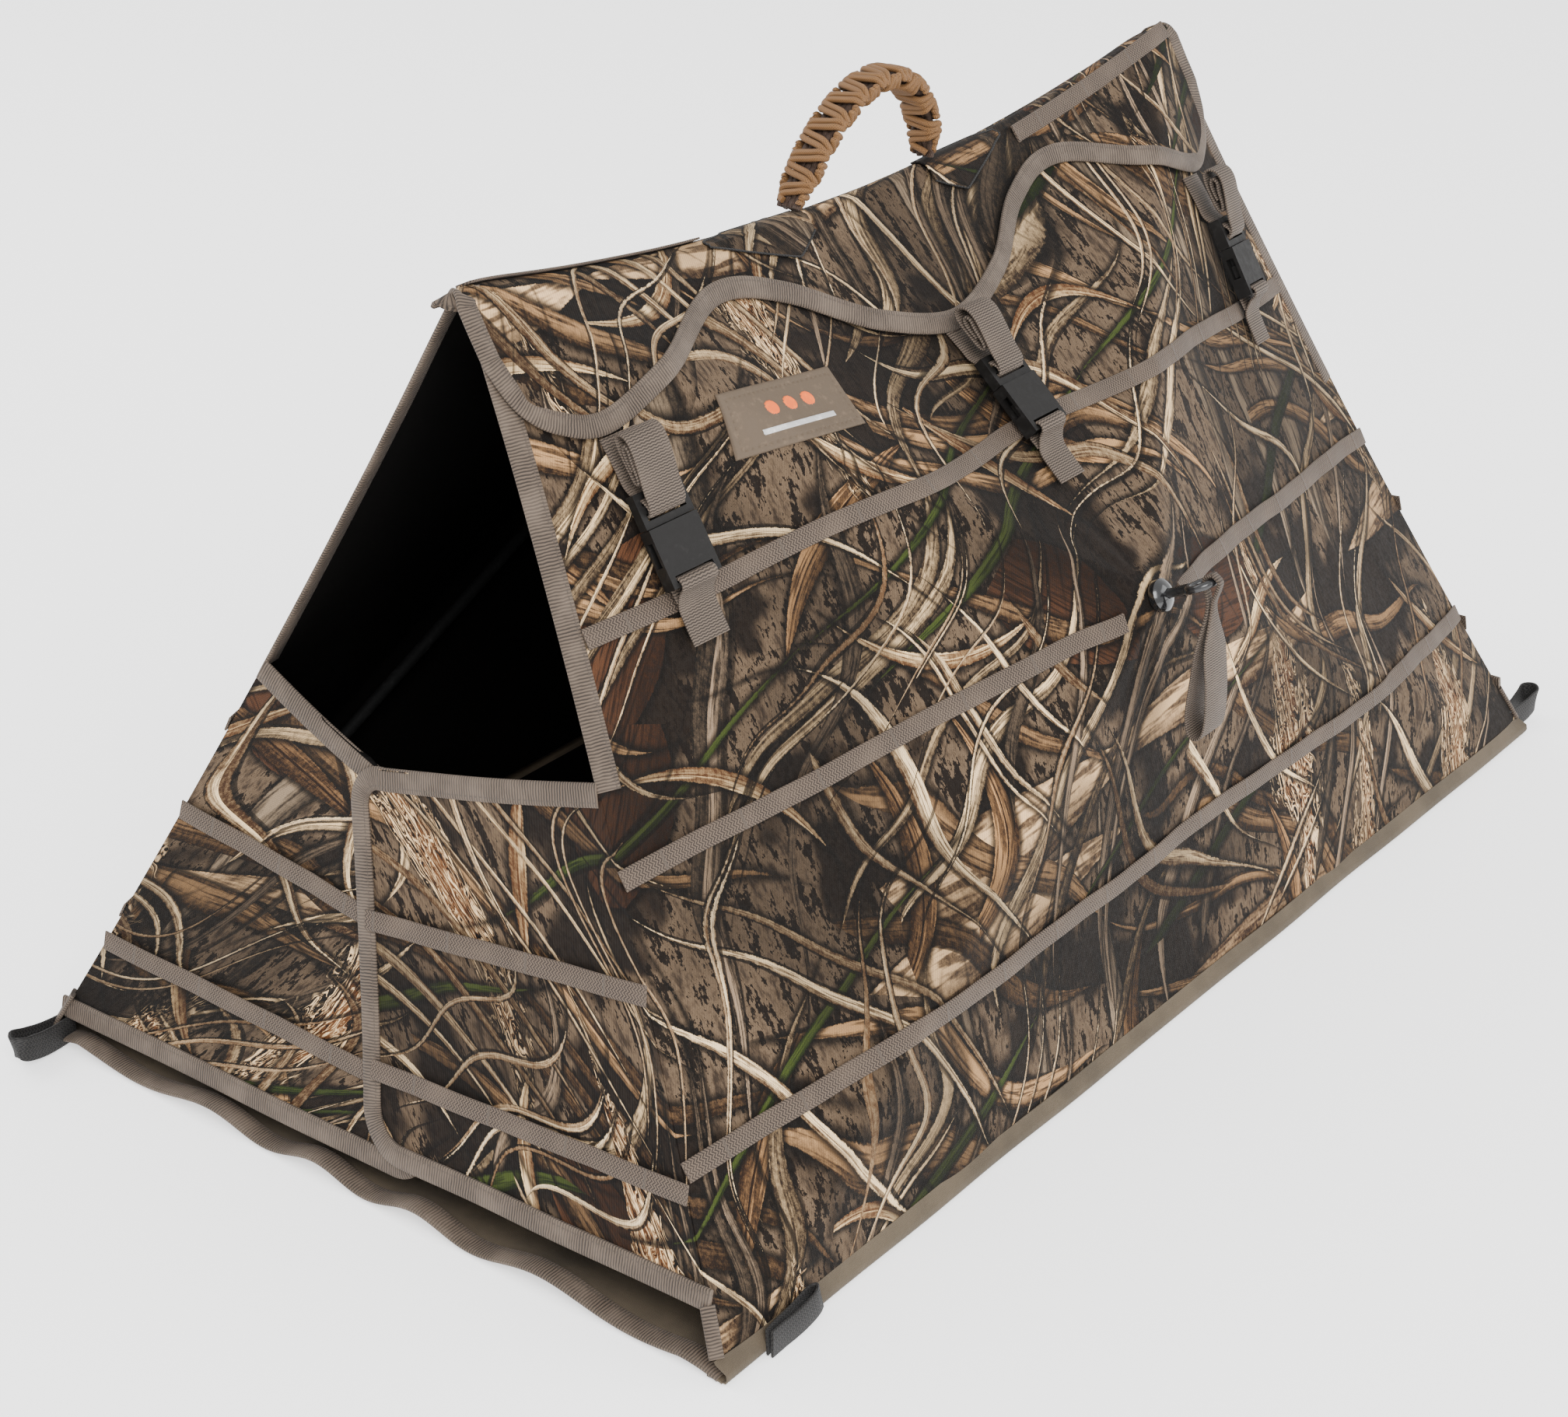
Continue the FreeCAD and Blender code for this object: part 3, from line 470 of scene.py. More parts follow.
def leaves(n, print_map, under, cell, width, curve, keep, dark, light, seed, ribs=0.5):
    """A layer of single curved leaves, each turned its own way inside its cell."""
    place = n.vector("ADD", print_map["cloth"], (seed * 0.37, seed * 0.61, 0))
    _, colour, centre = n.cells(place, 1 / cell)
    pick, tone, turn = n.split(colour)
    x, y, _ = n.split(n.vector("SUBTRACT", place, centre))
    angle = n.mul(turn, 2 * math.pi)
    c, s = n.math("COSINE", angle), n.math("SINE", angle)
    along = n.add(n.mul(x, c), n.mul(y, s))
    over = n.sub(n.mul(y, c), n.mul(x, s))
    bow = n.mul(n.math("POWER", n.math("DIVIDE", along, cell), 2.0),
                n.mul(n.sub(tone, 0.45), curve * cell))
    over = n.sub(over, bow)
    half_long = cell * 0.48
    taper = n.sub(1.0, n.math("POWER", n.size(n.math("DIVIDE", along, half_long)), 1.8))
    edge = n.sub(n.mul(taper, width / 2), n.size(over))
    edge = n.fma(print_map["grit"], 0.0022, edge)
    kept = n.math("LESS_THAN", pick, keep)
    mask = n.mul(n.ramp(edge, 0.0, 0.0005), kept)
    streak = n.noise(n.join(n.mul(along, 22.0), n.mul(over, 500.0)), 1.0, 2.0, 0.75)
    rib = n.ramp(n.size(over), 0.0, 0.0012)
    side = n.ramp(over, -width / 2, width * 0.3, 0.1, 1.1)
    value = n.mul(side, n.ramp(streak, 0.36, 0.58, 0.22, 1.1))
    value = n.mul(value, spread(n, pick, 0.25, 1.0 / max(keep, 0.4)))
    value = n.sub(value, n.mul(n.sub(1.0, rib), ribs))
    value = n.fma(print_map["grit"], 0.9, value, clamp=True)
    shadow = n.mul(n.ramp(edge, -0.005, 0.0), kept)
    under = n.mix(n.mul(shadow, 0.85), under, BLACK_INK_AND_SHADE)
    return n.mix(mask, under, n.mix(value, dark, light))


def plumes(n, print_map, under, cell, keep, seed, dark, light):
    """Feathery seed heads: bent upright patches filled with fine hanging fibres."""
    x, y, _ = n.split(n.vector("MULTIPLY_ADD", print_map["warp"], (0.10, 0.05, 0), print_map["cloth"]))
    wisp = n.noise(n.join(n.mul(x, 75.0), n.mul(y, 26.0)), 1.0, 2.0, 0.6)
    along = n.fma(y, 1 / cell, seed)
    over = n.fma(x, 3.2 / cell, seed * 2)
    _, colour, centre = n.cells(n.join(over, along))
    pick, _, _ = n.split(colour)
    cx, cy, _ = n.split(centre)
    u = n.sub(over, cx)
    w = n.sub(along, cy)
    fan = n.fma(n.size(u), 16.0, n.mul(wisp, 9.0))
    fibres = n.noise(n.join(n.fma(x, 520.0, n.mul(wisp, 16.0)),
                            n.sub(n.mul(y, 75.0), fan)), 1.0, 3.0, 0.68)
    body = n.sub(0.36, n.add(n.mul(n.size(u), 1.15), n.mul(n.size(w), 0.55)))
    body = n.fma(n.sub(wisp, 0.5), 0.55, body)
    kept = n.math("LESS_THAN", pick, keep)
    mask = n.sub(n.fma(body, 0.55, fibres), 0.54)
    mask = n.mul(n.ramp(mask, 0.0, 0.035), n.mul(kept, n.ramp(body, -0.04, 0.04)))
    value = n.ramp(fibres, 0.46, 0.66)
    under = n.mix(n.mul(n.ramp(body, -0.10, 0.10), n.mul(kept, 0.9)), under, BLACK_INK_AND_SHADE)
    return n.mix(mask, under, n.mix(value, dark, light))


# Near-black of the print's ink, also the colour of the painted shade laid over the whole cloth.
BLACK_INK_AND_SHADE = (0.0125, 0.0090, 0.0065)


def camouflage(name):
    """Woven cloth printed with layers of reeds, leaves and seed heads over mottled bark, under large soft
    patches of painted shade.
    """
    n = Nodes(name)
    cloth = n.cloth
    x, y, _ = n.split(cloth)
    warp = n.vector("SUBTRACT", n.noise(cloth, 4.2, 1.0, colour=True), (0.5, 0.5, 0.5))
    grit = n.noise(n.vector("MULTIPLY", cloth, (330.0, 210.0, 0)), 1.0, 4.0, 0.8)
    grit = n.sub(grit, 0.5)
    print_map = {"cloth": cloth, "warp": warp, "grit": grit}
    bark = n.noise(n.join(n.mul(x, 105.0), n.mul(y, 34.0)), 1.0, 4.0, 0.72)
    colour = n.mix(n.ramp(bark, 0.30, 0.50), (0.080, 0.061, 0.047), (0.215, 0.170, 0.128))
    colour = n.mix(n.ramp(n.fma(grit, 0.35, bark), 0.535, 0.56), colour, (0.030, 0.021, 0.015))
    patch = n.noise(cloth, 8.0, 3.0, 0.6)
    colour = n.mix(n.ramp(patch, 0.50, 0.58, 0.0, 0.93), colour, (0.022, 0.0145, 0.010))
    layer = (n, print_map)
    colour = leaves(*layer, colour, 0.150, 0.066, 0.5, 0.36,
                    (0.040, 0.021, 0.012), (0.185, 0.100, 0.058), 3.1)
    colour = reeds(*layer, colour, 86, 0.50, 0.042, 0.06, 0.20,
                   (0.025, 0.019, 0.015), (0.36, 0.30, 0.235), 1.3)
    colour = reeds(*layer, colour, 5, 0.34, 0.050, 0.05, 0.22,
                   (0.055, 0.029, 0.016), (0.88, 0.68, 0.46), 2.7)
    colour = reeds(*layer, colour, -28, 0.30, 0.024, 0.20, 0.32,
                   (0.038, 0.022, 0.013), (0.54, 0.38, 0.23), 4.9)
    colour = leaves(*layer, colour, 0.170, 0.018, 2.4, 0.60,
                    (0.042, 0.022, 0.012), (0.56, 0.38, 0.22), 5.3)
    colour = reeds(*layer, colour, 38, 0.28, 0.015, 0.20, 0.24,
                   (0.055, 0.037, 0.024), (0.88, 0.72, 0.50), 6.1)
    colour = reeds(*layer, colour, 66, 0.34, 0.013, 0.16, 0.20,
                   (0.025, 0.019, 0.014), (0.42, 0.34, 0.265), 7.7)
    colour = plumes(*layer, colour, 0.25, 0.36, 2.2,
                    (0.20, 0.098, 0.040), (0.92, 0.76, 0.54))
    colour = reeds(*layer, colour, 22, 0.30, 0.016, 0.06, 0.07,
                   (0.016, 0.026, 0.008), (0.10, 0.135, 0.040), 3.9, 0.26)
    colour = leaves(*layer, colour, 0.140, 0.0100, 2.2, 0.60,
                    (0.14, 0.068, 0.028), (0.92, 0.76, 0.52), 8.9, 0.2)
    colour = reeds(*layer, colour, -52, 0.22, 0.0095, 0.18, 0.22,
                   (0.10, 0.055, 0.027), (0.92, 0.78, 0.56), 9.4)
    colour = reeds(*layer, colour, 50, 0.20, 0.0046, 0.22, 0.10,
                   (0.22, 0.14, 0.08), (0.92, 0.80, 0.60), 12.6)
    # Painted shade: large soft patches of the cloth darkened towards black, standing in for uneven light
    # across it.
    shade = n.noise(cloth, 5.5, 2.0)
    colour = n.mix(n.ramp(shade, 0.44, 0.60, 0.0, 0.45), colour, BLACK_INK_AND_SHADE)
    warp_thread = n.wave(n.add(x, y), 0.0011)
    weft_thread = n.wave(n.sub(x, n.mul(y, 0.5)), 0.0016)
    weave = n.mul(warp_thread, weft_thread)
    colour = n.mix(n.ramp(weave, 0.0, 0.5, 0.22, 0.0), colour, BLACK_INK_AND_SHADE)
    contrast = n.tree.nodes.new("ShaderNodeGamma")
    n.put(contrast.inputs[0], colour)
    contrast.inputs[1].default_value = 1.40
    colour = n.mix(1.0, contrast.outputs[0], (1.0, 0.925, 0.83), "MULTIPLY")
    normal = n.bump(weave, 0.0003, 0.5)
    normal = n.bump(n.noise(cloth, 28.0, 2.0, 0.55), 0.0035, 0.28, normal)
    return n.done(colour, n.ramp(grit, -0.2, 0.2, 0.74, 0.9), normal, sheen=0.02, specular=0.15)


def grosgrain(name, light, dark):
    """Cross-ribbed binding tape with a stitch line near its inner edge."""
    n = Nodes(name)
    u, v, _ = n.split(n.cloth)
    drift = n.mul(n.noise(n.cloth, 130.0, 2.0), 0.0012)
    rib = n.wave(n.add(u, drift), 0.0018)
    fray = n.noise(n.join(n.mul(u, 600.0), n.mul(v, 2400.0)), 1.0, 2.0, 0.7)
    colour = n.mix(n.ramp(rib, 0.05, 0.75), dark, light)
    colour = n.mix(n.mul(fray, 0.35), colour, dark)
    wear = n.noise(n.cloth, 34.0, 3.0, 0.6)
    colour = n.mix(n.ramp(wear, 0.35, 0.75, 0.0, 0.30), colour, (0.190, 0.145, 0.110))
    line = n.size(n.sub(v, 0.0030))
    other = n.size(n.sub(v, 0.0245))
    near = n.math("LESS_THAN", n.math("MINIMUM", line, other), 0.00045)
    stitch = n.mul(near, n.ramp(n.wave(u, 0.0034), 0.25, 0.4))
    colour = n.mix(n.mul(stitch, 0.8), colour, (0.06, 0.046, 0.036))
    height = n.sub(rib, n.mul(near, 0.9))
    normal = n.bump(height, 0.00045, 0.8)
    normal = n.bump(n.noise(n.cloth, 85.0, 2.0), 0.0012, 0.5, normal)
    return n.done(colour, 0.66, normal, sheen=0.04, specular=0.25)


def webbing(name, light, dark, pitch=0.0021, tacks=0.0, slant=1.1):
    """Woven webbing with slanting herringbone ribs; tacks adds bar tacks at that spacing."""
    n = Nodes(name)
    u, v, _ = n.split(n.cloth)
    zigzag = n.math("PINGPONG", v, 0.0016)
    twill = n.wave(n.fma(zigzag, slant, u), pitch)
    threads = n.wave(v, 0.0011)
    weave = n.mul(twill, n.fma(threads, 0.45, 0.55))
    fuzz = n.noise(n.cloth, 900.0, 2.0, 0.7)
    colour = n.mix(n.ramp(weave, 0.05, 0.7), dark, light)
    colour = n.mix(n.mul(fuzz, 0.3), colour, dark)
    wear = n.noise(n.cloth, 30.0, 3.0, 0.6)
    colour = n.mix(n.ramp(wear, 0.4, 0.8, 0.0, 0.3), colour, light)
    height = weave
    if tacks:
        spot = n.size(n.sub(n.math("PINGPONG", u, tacks), tacks * 0.5))
        tack = n.math("LESS_THAN", spot, 0.0009)
        colour = n.mix(n.mul(tack, 0.72), colour, (0.075, 0.058, 0.045))
        height = n.sub(weave, n.mul(n.ramp(spot, 0.0, 0.002, 1.0, 0.0), 2.0))
    normal = n.bump(height, 0.0004, 0.8)
    return n.done(colour, 0.70, normal, sheen=0.04, specular=0.25)


def plain_cloth(name, light, dark):
    """A coated woven cloth in one colour, with its weave and some dust."""
    n = Nodes(name)
    u, v, _ = n.split(n.cloth)
    weave = n.mul(n.wave(u, 0.0010), n.wave(v, 0.0010))
    dust = n.noise(n.cloth, 18.0, 4.0, 0.6)
    colour = n.mix(n.ramp(dust, 0.3, 0.7), dark, light)
    colour = n.mix(n.ramp(weave, 0.0, 0.5, 0.25, 0.0), colour, dark)
    normal = n.bump(weave, 0.0003, 0.5)
    normal = n.bump(n.noise(n.cloth, 24.0, 3.0), 0.004, 0.35, normal)
    return n.done(colour, 0.8, normal, sheen=0.04, specular=0.2)


def lining(name):
    """The dark, dull back of the printed cloth; the floor's top inside the tent takes it too, as painted
    shade.
    """
    n = Nodes(name)
    u, v, _ = n.split(n.cloth)
    weave = n.mul(n.wave(u, 0.0012), n.wave(v, 0.0012))
    colour = n.mix(weave, (0.0035, 0.0032, 0.003), (0.0065, 0.006, 0.0055))
    return n.done(colour, 0.95, n.bump(weave, 0.0003, 0.3), specular=0.05)


def moulding(name, colour, rough, grain, specular=0.5, coat=0.0):
    """Moulded plastic with fine grain and scuffs, the scuffs lighter and slightly duller."""
    n = Nodes(name)
    place = n.tree.nodes.new("ShaderNodeTexCoord").outputs["Object"]
    fine = n.noise(place, 2600.0, 2.0, 0.6, solid=True)
    scuff = n.noise(place, 160.0, 3.0, 0.7, solid=True)
    light = tuple(min(1.0, c * 2.2 + 0.012) for c in colour)
    shade = n.mix(n.ramp(scuff, 0.5, 0.8, 0.0, 0.45), colour, light)
    normal = n.bump(fine, grain, 0.5)
    made = n.done(shade, n.ramp(scuff, 0.35, 0.75, rough, min(1.0, rough + 0.18)), normal, specular=specular)
    n.shader.inputs["Coat Weight"].default_value = coat
    return made


def metal(name, colour, rough, metallic):
    """Plated metal with fine scratches along one axis."""
    n = Nodes(name)
    place = n.tree.nodes.new("ShaderNodeTexCoord").outputs["Object"]
    scratch = n.noise(n.vector("MULTIPLY", place, (300, 300, 3000)), 1.0, 3.0, 0.6, solid=True)
    shade = n.mix(n.ramp(scratch, 0.4, 0.8, 0.0, 0.4), colour, tuple(min(1.0, c * 1.6) for c in colour))
    made = n.done(shade, n.ramp(scratch, 0.3, 0.8, rough, rough + 0.2), n.bump(scratch, 0.00005, 0.4))
    n.shader.inputs["Metallic"].default_value = metallic
    return made


def cord_cloth(name, light, dark):
    """Braided cord sheath: fine crossing plaits round and along each cord."""
    n = Nodes(name)
    u, v, _ = n.split(n.cloth)
    one = n.wave(n.add(u, v), 0.0013)
    two = n.wave(n.sub(u, v), 0.0013)
    plait = n.math("MAXIMUM", one, two)
    tone = n.noise(n.cloth, 60.0, 2.0)
    colour = n.mix(n.ramp(plait, 0.35, 0.95), dark, light)
    colour = n.mix(n.mul(tone, 0.3), colour, dark)
    return n.done(colour, 0.6, n.bump(plait, 0.0003, 0.7), sheen=0.03, specular=0.25)


camo = camouflage("camouflage_cloth")
# Dark back of the cloth, also laid on the floor's top inside the tent as painted shade.
inside = lining("dark_lining_and_floor_shade")
olive = plain_cloth("olive_floor_cloth", (0.092, 0.070, 0.046), (0.062, 0.048, 0.032))
tape = grosgrain("binding_tape", (0.115, 0.084, 0.061), (0.022, 0.016, 0.012))
narrow_strap = webbing("stubble_webbing", (0.135, 0.098, 0.071), (0.024, 0.017, 0.013), tacks=0.055)
wide_strap = webbing("buckle_webbing", (0.135, 0.102, 0.077), (0.024, 0.018, 0.014), pitch=0.0016, slant=0.3)
black_strap = webbing("black_webbing", (0.020, 0.018, 0.017), (0.004, 0.004, 0.004), pitch=0.0024)
black_plastic = moulding("black_nylon", (0.0060, 0.0054, 0.0050), 0.50, 0.00006, specular=0.20)
gloss_plastic = moulding("black_gloss", (0.006, 0.006, 0.0065), 0.16, 0.00002, coat=0.5)
tip_plastic = moulding("tip_moulding", (0.018, 0.018, 0.018), 0.5, 0.00006)
rod_finish = moulding("pole_resin", (0.006, 0.006, 0.006), 0.7, 0.00004, specular=0.15)
painted_steel = moulding("black_coated_steel", (0.008, 0.008, 0.0085), 0.24, 0.00003, coat=0.3)
zinc = metal("zinc_plate", (0.50, 0.50, 0.49), 0.3, 1.0)
tan_cord = cord_cloth("tan_cord", (0.225, 0.112, 0.040), (0.055, 0.026, 0.010))
core_cord = cord_cloth("core_cord", (0.055, 0.030, 0.018), (0.014, 0.008, 0.006))
rubber = moulding("patch_rubber", (0.082, 0.058, 0.038), 0.62, 0.00008, specular=0.3)
patch_orange = moulding("patch_orange", (0.72, 0.115, 0.012), 0.55, 0.00005, specular=0.3)
patch_grey = moulding("patch_grey", (0.42, 0.41, 0.40), 0.55, 0.00005, specular=0.3)


# ---- panels and floor -------------------------------------------------------------------------------

def make_panel(side, top_gap):
    """A stretched side panel from the floor band to just under the ridge."""
    rows, columns = 131, 201
    s = np.linspace(-1, 1, columns)[None, :]
    r = np.linspace(0, 1, rows)[:, None]
    v = BAND_TOP + r * (ridge_v(s * HALF_RIDGE) - top_gap - BAND_TOP)
    x = s * (side_edge(v) - 0.0006)
    points = on_surface(side, x, v)
    shift = 0.0 if side == "front" else 2.37
    uvs = np.stack([x + shift, v + shift], -1)
    shape = Shape()
    add_cloth(shape, points, uvs)
    return shape.make(f"{side}_cloth", [camo, inside])


def make_floor():
    """The floor sheet, flat on the ground, with wavy bound ends and a rim that turns up at both sides."""
    rows, columns = 81, 161
    y = np.linspace(-HALF_WIDTH + 0.001, HALF_WIDTH - 0.001, rows)[:, None]
    x = np.linspace(-1, 1, columns)[None, :] * (HALF_BASE - 0.001)
    x, y = np.broadcast_arrays(x, y)
    z = 0.0016 + floor_wave(x, y)
    points = np.stack([x, y, z], -1)
    shape = Shape()
    add_cloth(shape, points, np.stack([x, y], -1), 0.0014, slots=(0, 0))
    floor = shape.make("floor_sheet", [olive, inside])
    middles = np.array([p.center for p in floor.data.polygons])
    # Painted shade: the floor's top away from its loose ends, inside the tent, takes the near-black lining
    # instead of the olive cloth.
    dark = (np.abs(middles[:, 0]) < HALF_BASE - 0.055) & (middles[:, 2] > 0.001)
    floor.data.polygons.foreach_set("material_index", dark.astype(np.int32))
    return floor


def floor_wave(x, y):
    """Height of the floor's loose ends above the ground."""
    near = np.clip((np.abs(x) - (HALF_BASE - 0.05)) / 0.05, 0, 1) ** 1.5
    clear = np.clip((HALF_WIDTH - np.abs(y)) / 0.03, 0, 1)
    wave = 0.5 + 0.5 * np.sin(y * 2 * math.pi / 0.105 + np.sign(x) * 1.1 + 1.6 * np.sin(y * 13))
    return near * clear * (0.0025 + 0.0085 * wave)


def make_floor_tapes():
    """The tape that binds the floor's two loose ends."""
    shape = Shape()
    for hand in (-1, 1):
        y = np.linspace(-HALF_WIDTH + 0.004, HALF_WIDTH - 0.004, 161)
        x = np.full_like(y, hand * (HALF_BASE - 0.0012))
        path = np.stack([x, y, 0.0011 + floor_wave(x, y)], 1)
        normals = np.tile([0, 0, 1.0], (len(y), 1))
        across, normals = path_frames(path, normals, path - [hand * 0.1, 0, 0])
        add_sweep(shape, path, across, normals, folded_tape(NARROW_BINDING))
    return shape.make("floor_end_tapes", [tape])


def folded_tape(width):
    """Cross-section of a tape folded over a cloth's edge: across is inwards from the edge."""
    rise = 0.0009
    top, low = rise, -CLOTH - rise
    return [(width, top * 0.2), (width - 0.0010, top), (width * 0.55, top * 1.15), (0.0015, top * 1.05),
            (-0.0006, top * 0.3), (-0.0010, (top + low) / 2), (-0.0006, low + rise * 0.7), (0.0015, low),
            (width - 0.0010, low), (width, low * 0.6)]


def make_base_band(side):
    """The floor's rim where it turns up and meets the side panel."""
    columns = 161
    x = np.linspace(-1, 1, columns) * (HALF_BASE - 0.0015)
    profile = [(0.012, 0.0005), (0.004, 0.0006), (-0.0008, 0.0012), (-0.0022, 0.0038), (-0.0016, 0.0075)]
    rows = []
    for inward, up in profile:
        rows.append(np.stack([x, np.full_like(x, -HALF_WIDTH + inward), np.full_like(x, up)], -1))
    for v, lift in ((BAND_TOP + 0.001, 0.0010), (BAND_TOP + 0.003, 0.0006)):
        rows.append(to_world("front", x, v, surface(x, v, creased=False) + lift))
    points = np.array(rows)
    places = np.stack([points[..., 0], points[..., 2], 0 * points[..., 0]], -1)
    points[..., 1] += 0.0006 * ripple(places, 0.05, 3.0)
    if side == "rear":
        points = points * np.array([-1, -1, 1])
    height = np.cumsum(np.linalg.norm(np.diff(points, axis=0, prepend=points[:1]), axis=-1), axis=0)
    shape = Shape()
    uvs = np.stack([points[..., 0], height], -1)
    add_cloth(shape, points, uvs, 0.0008, slots=(0, 0))
    return shape.make(f"{side}_base_band", [olive])


def make_edge_tapes(side):
    """The bindings of a panel's two slanting edges, from the top of the doors to the ridge."""
    shape = Shape()
    for sign in (-1, 1):
        v = np.linspace((DOOR_TOP - 0.004) / SIN, SLOPE - 0.004, 121)
        x = sign * (side_edge(v) - 0.0004)
        path = on_surface(side, x, v)
        normals = surface_normal(side, sign * (side_edge(v) - 0.004), v)
        across, normals = path_frames(path, normals, on_surface(side, x * 0.9, v))
        add_sweep(shape, path, across, normals, folded_tape(BINDING))
        z = np.linspace(0.0125, 0.036, 14)
        path = end_point(sign, (-HALF_WIDTH * (1 - z / HEIGHT)), z, 0.0006)
        if side == "rear":
            path = end_point(sign, (HALF_WIDTH * (1 - z / HEIGHT)), z, 0.0006)
        out = np.tile([sign * 0.6, -0.8 if side == "front" else 0.8, 0.3], (14, 1))
        across, normals = path_frames(path, out)
        add_sweep(shape, path, across, normals, rounded_profile(0.0085, 0.0030))
    return shape.make(f"{side}_edge_tapes", [tape])


STRAP_ROWS = {"top": 0.345, "middle": 0.555, "bottom": 0.815}


def make_stubble_webbing(side):
    """The narrow straps that hold cut stubble, tacked at even steps and loose between the tacks."""
    shape = Shape()
    for row, share in STRAP_ROWS.items():
        v_row = SLOPE * (1 - share)
        reach = float(side_edge(v_row)) - (BINDING + 0.0005 if row == "top" else 0.001)
        spans = [(-reach, -0.032), (0.030, reach)] if row == "middle" else [(-reach, reach)]
        for start, end in spans:
            x = np.linspace(start, end, int((end - start) / 0.004))
            v = v_row + 0.0016 * ripple(np.stack([x, x * 0, x * 0], -1), 0.09, share * 20)
            if row == "middle":
                v = v - 0.004 * np.exp(-((np.abs(x) - 0.03) / 0.03) ** 2)
            loose = np.abs(np.sin((x - start) * math.pi / 0.055)) ** 1.4
            path = on_surface(side, x, v, 0.0011 + 0.0011 * loose)
            normals = surface_normal(side, x, v)
            across, normals = path_frames(path, normals)
            add_sweep(shape, path, across, normals, rounded_profile(STRAP, STRAP_THICK))
    return shape.make(f"{side}_stubble_webbing", [narrow_strap])


front_cloth = make_panel("front", 0.008)
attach(front_cloth, "front_panel")
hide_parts("front_panel")
rear_cloth = make_panel("rear", 0.003)
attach(rear_cloth, "tent_body")
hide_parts("rear_panel")

floor_sheet = make_floor()
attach(floor_sheet, "tent_body")
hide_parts("floor_tray")
floor_tapes = make_floor_tapes()
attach(floor_tapes, "tent_body")

front_band = make_base_band("front")
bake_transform(front_band)
rear_band = make_base_band("rear")
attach(rear_band, "tent_body")

for panel_side, panel_body in (("front", "front_panel"), ("rear", "tent_body")):
    edges = make_edge_tapes(panel_side)
    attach(edges, panel_body)
    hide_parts(f"{panel_side}_panel_binding")
    straps = make_stubble_webbing(panel_side)
    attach(straps, panel_body)
    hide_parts(f"{panel_side}_stubble_straps")


# ---- doors ------------------------------------------------------------------------------------------

def door_grid(kind, hand, s, r, lift=0.0):
    """Points of a door leaf: s from its hinge edge 0 to its free edge 1, r from bottom 0 to top 1."""
    s, r = np.broadcast_arrays(np.asarray(s, float), np.asarray(r, float))
    if kind == "outer":
        corners = {"hinge": (0.033, 0.273), "free": (0.030, 0.238), "across": (-0.004, 0.050)}
    else:
        corners = {"hinge": (0.020, 0.271), "free": (0.022, 0.236), "across": (-0.050, 0.004)}
    z_hinge = corners["hinge"][0] + r * (corners["hinge"][1] - corners["hinge"][0])
    z_free = corners["free"][0] + r * (corners["free"][1] - corners["free"][0])
    radius = DOOR_CORNER
    tall = corners["free"][1] - corners["free"][0]
    from_bottom = np.clip(r * tall, 0, radius)
    from_top = np.clip((1 - r) * tall, 0, radius)
    inset = 2 * radius - np.sqrt(radius ** 2 - (radius - from_bottom) ** 2)
    inset = inset - np.sqrt(radius ** 2 - (radius - from_top) ** 2)
    y_free = corners["across"][0] + r * (corners["across"][1] - corners["across"][0])
    y_free = y_free - inset if kind == "outer" else y_free + inset
    z = z_hinge + s * (z_free - z_hinge)
    y_hinge = -(HALF_WIDTH * (1 - z / HEIGHT) - 0.0005)
    if kind == "inner":
        y_hinge = -y_hinge
    y = y_hinge + s * (y_free - y_hinge)
    away = np.clip(s * 1.6, 0, 1)
    base = 0.0030 * away if kind == "outer" else -0.0012 * away
    places = np.stack([y, z, np.zeros_like(z)], -1)
    slack = 0.0028 * np.sin(math.pi * np.clip(s, 0, 1)) * np.sin(math.pi * r)
    crease = 0.0010 * away * ripple(places, 0.06, 3.0 * hand + (1 if kind == "outer" else 2))
    return end_point(hand, y, z, base - slack + crease + lift), y, z


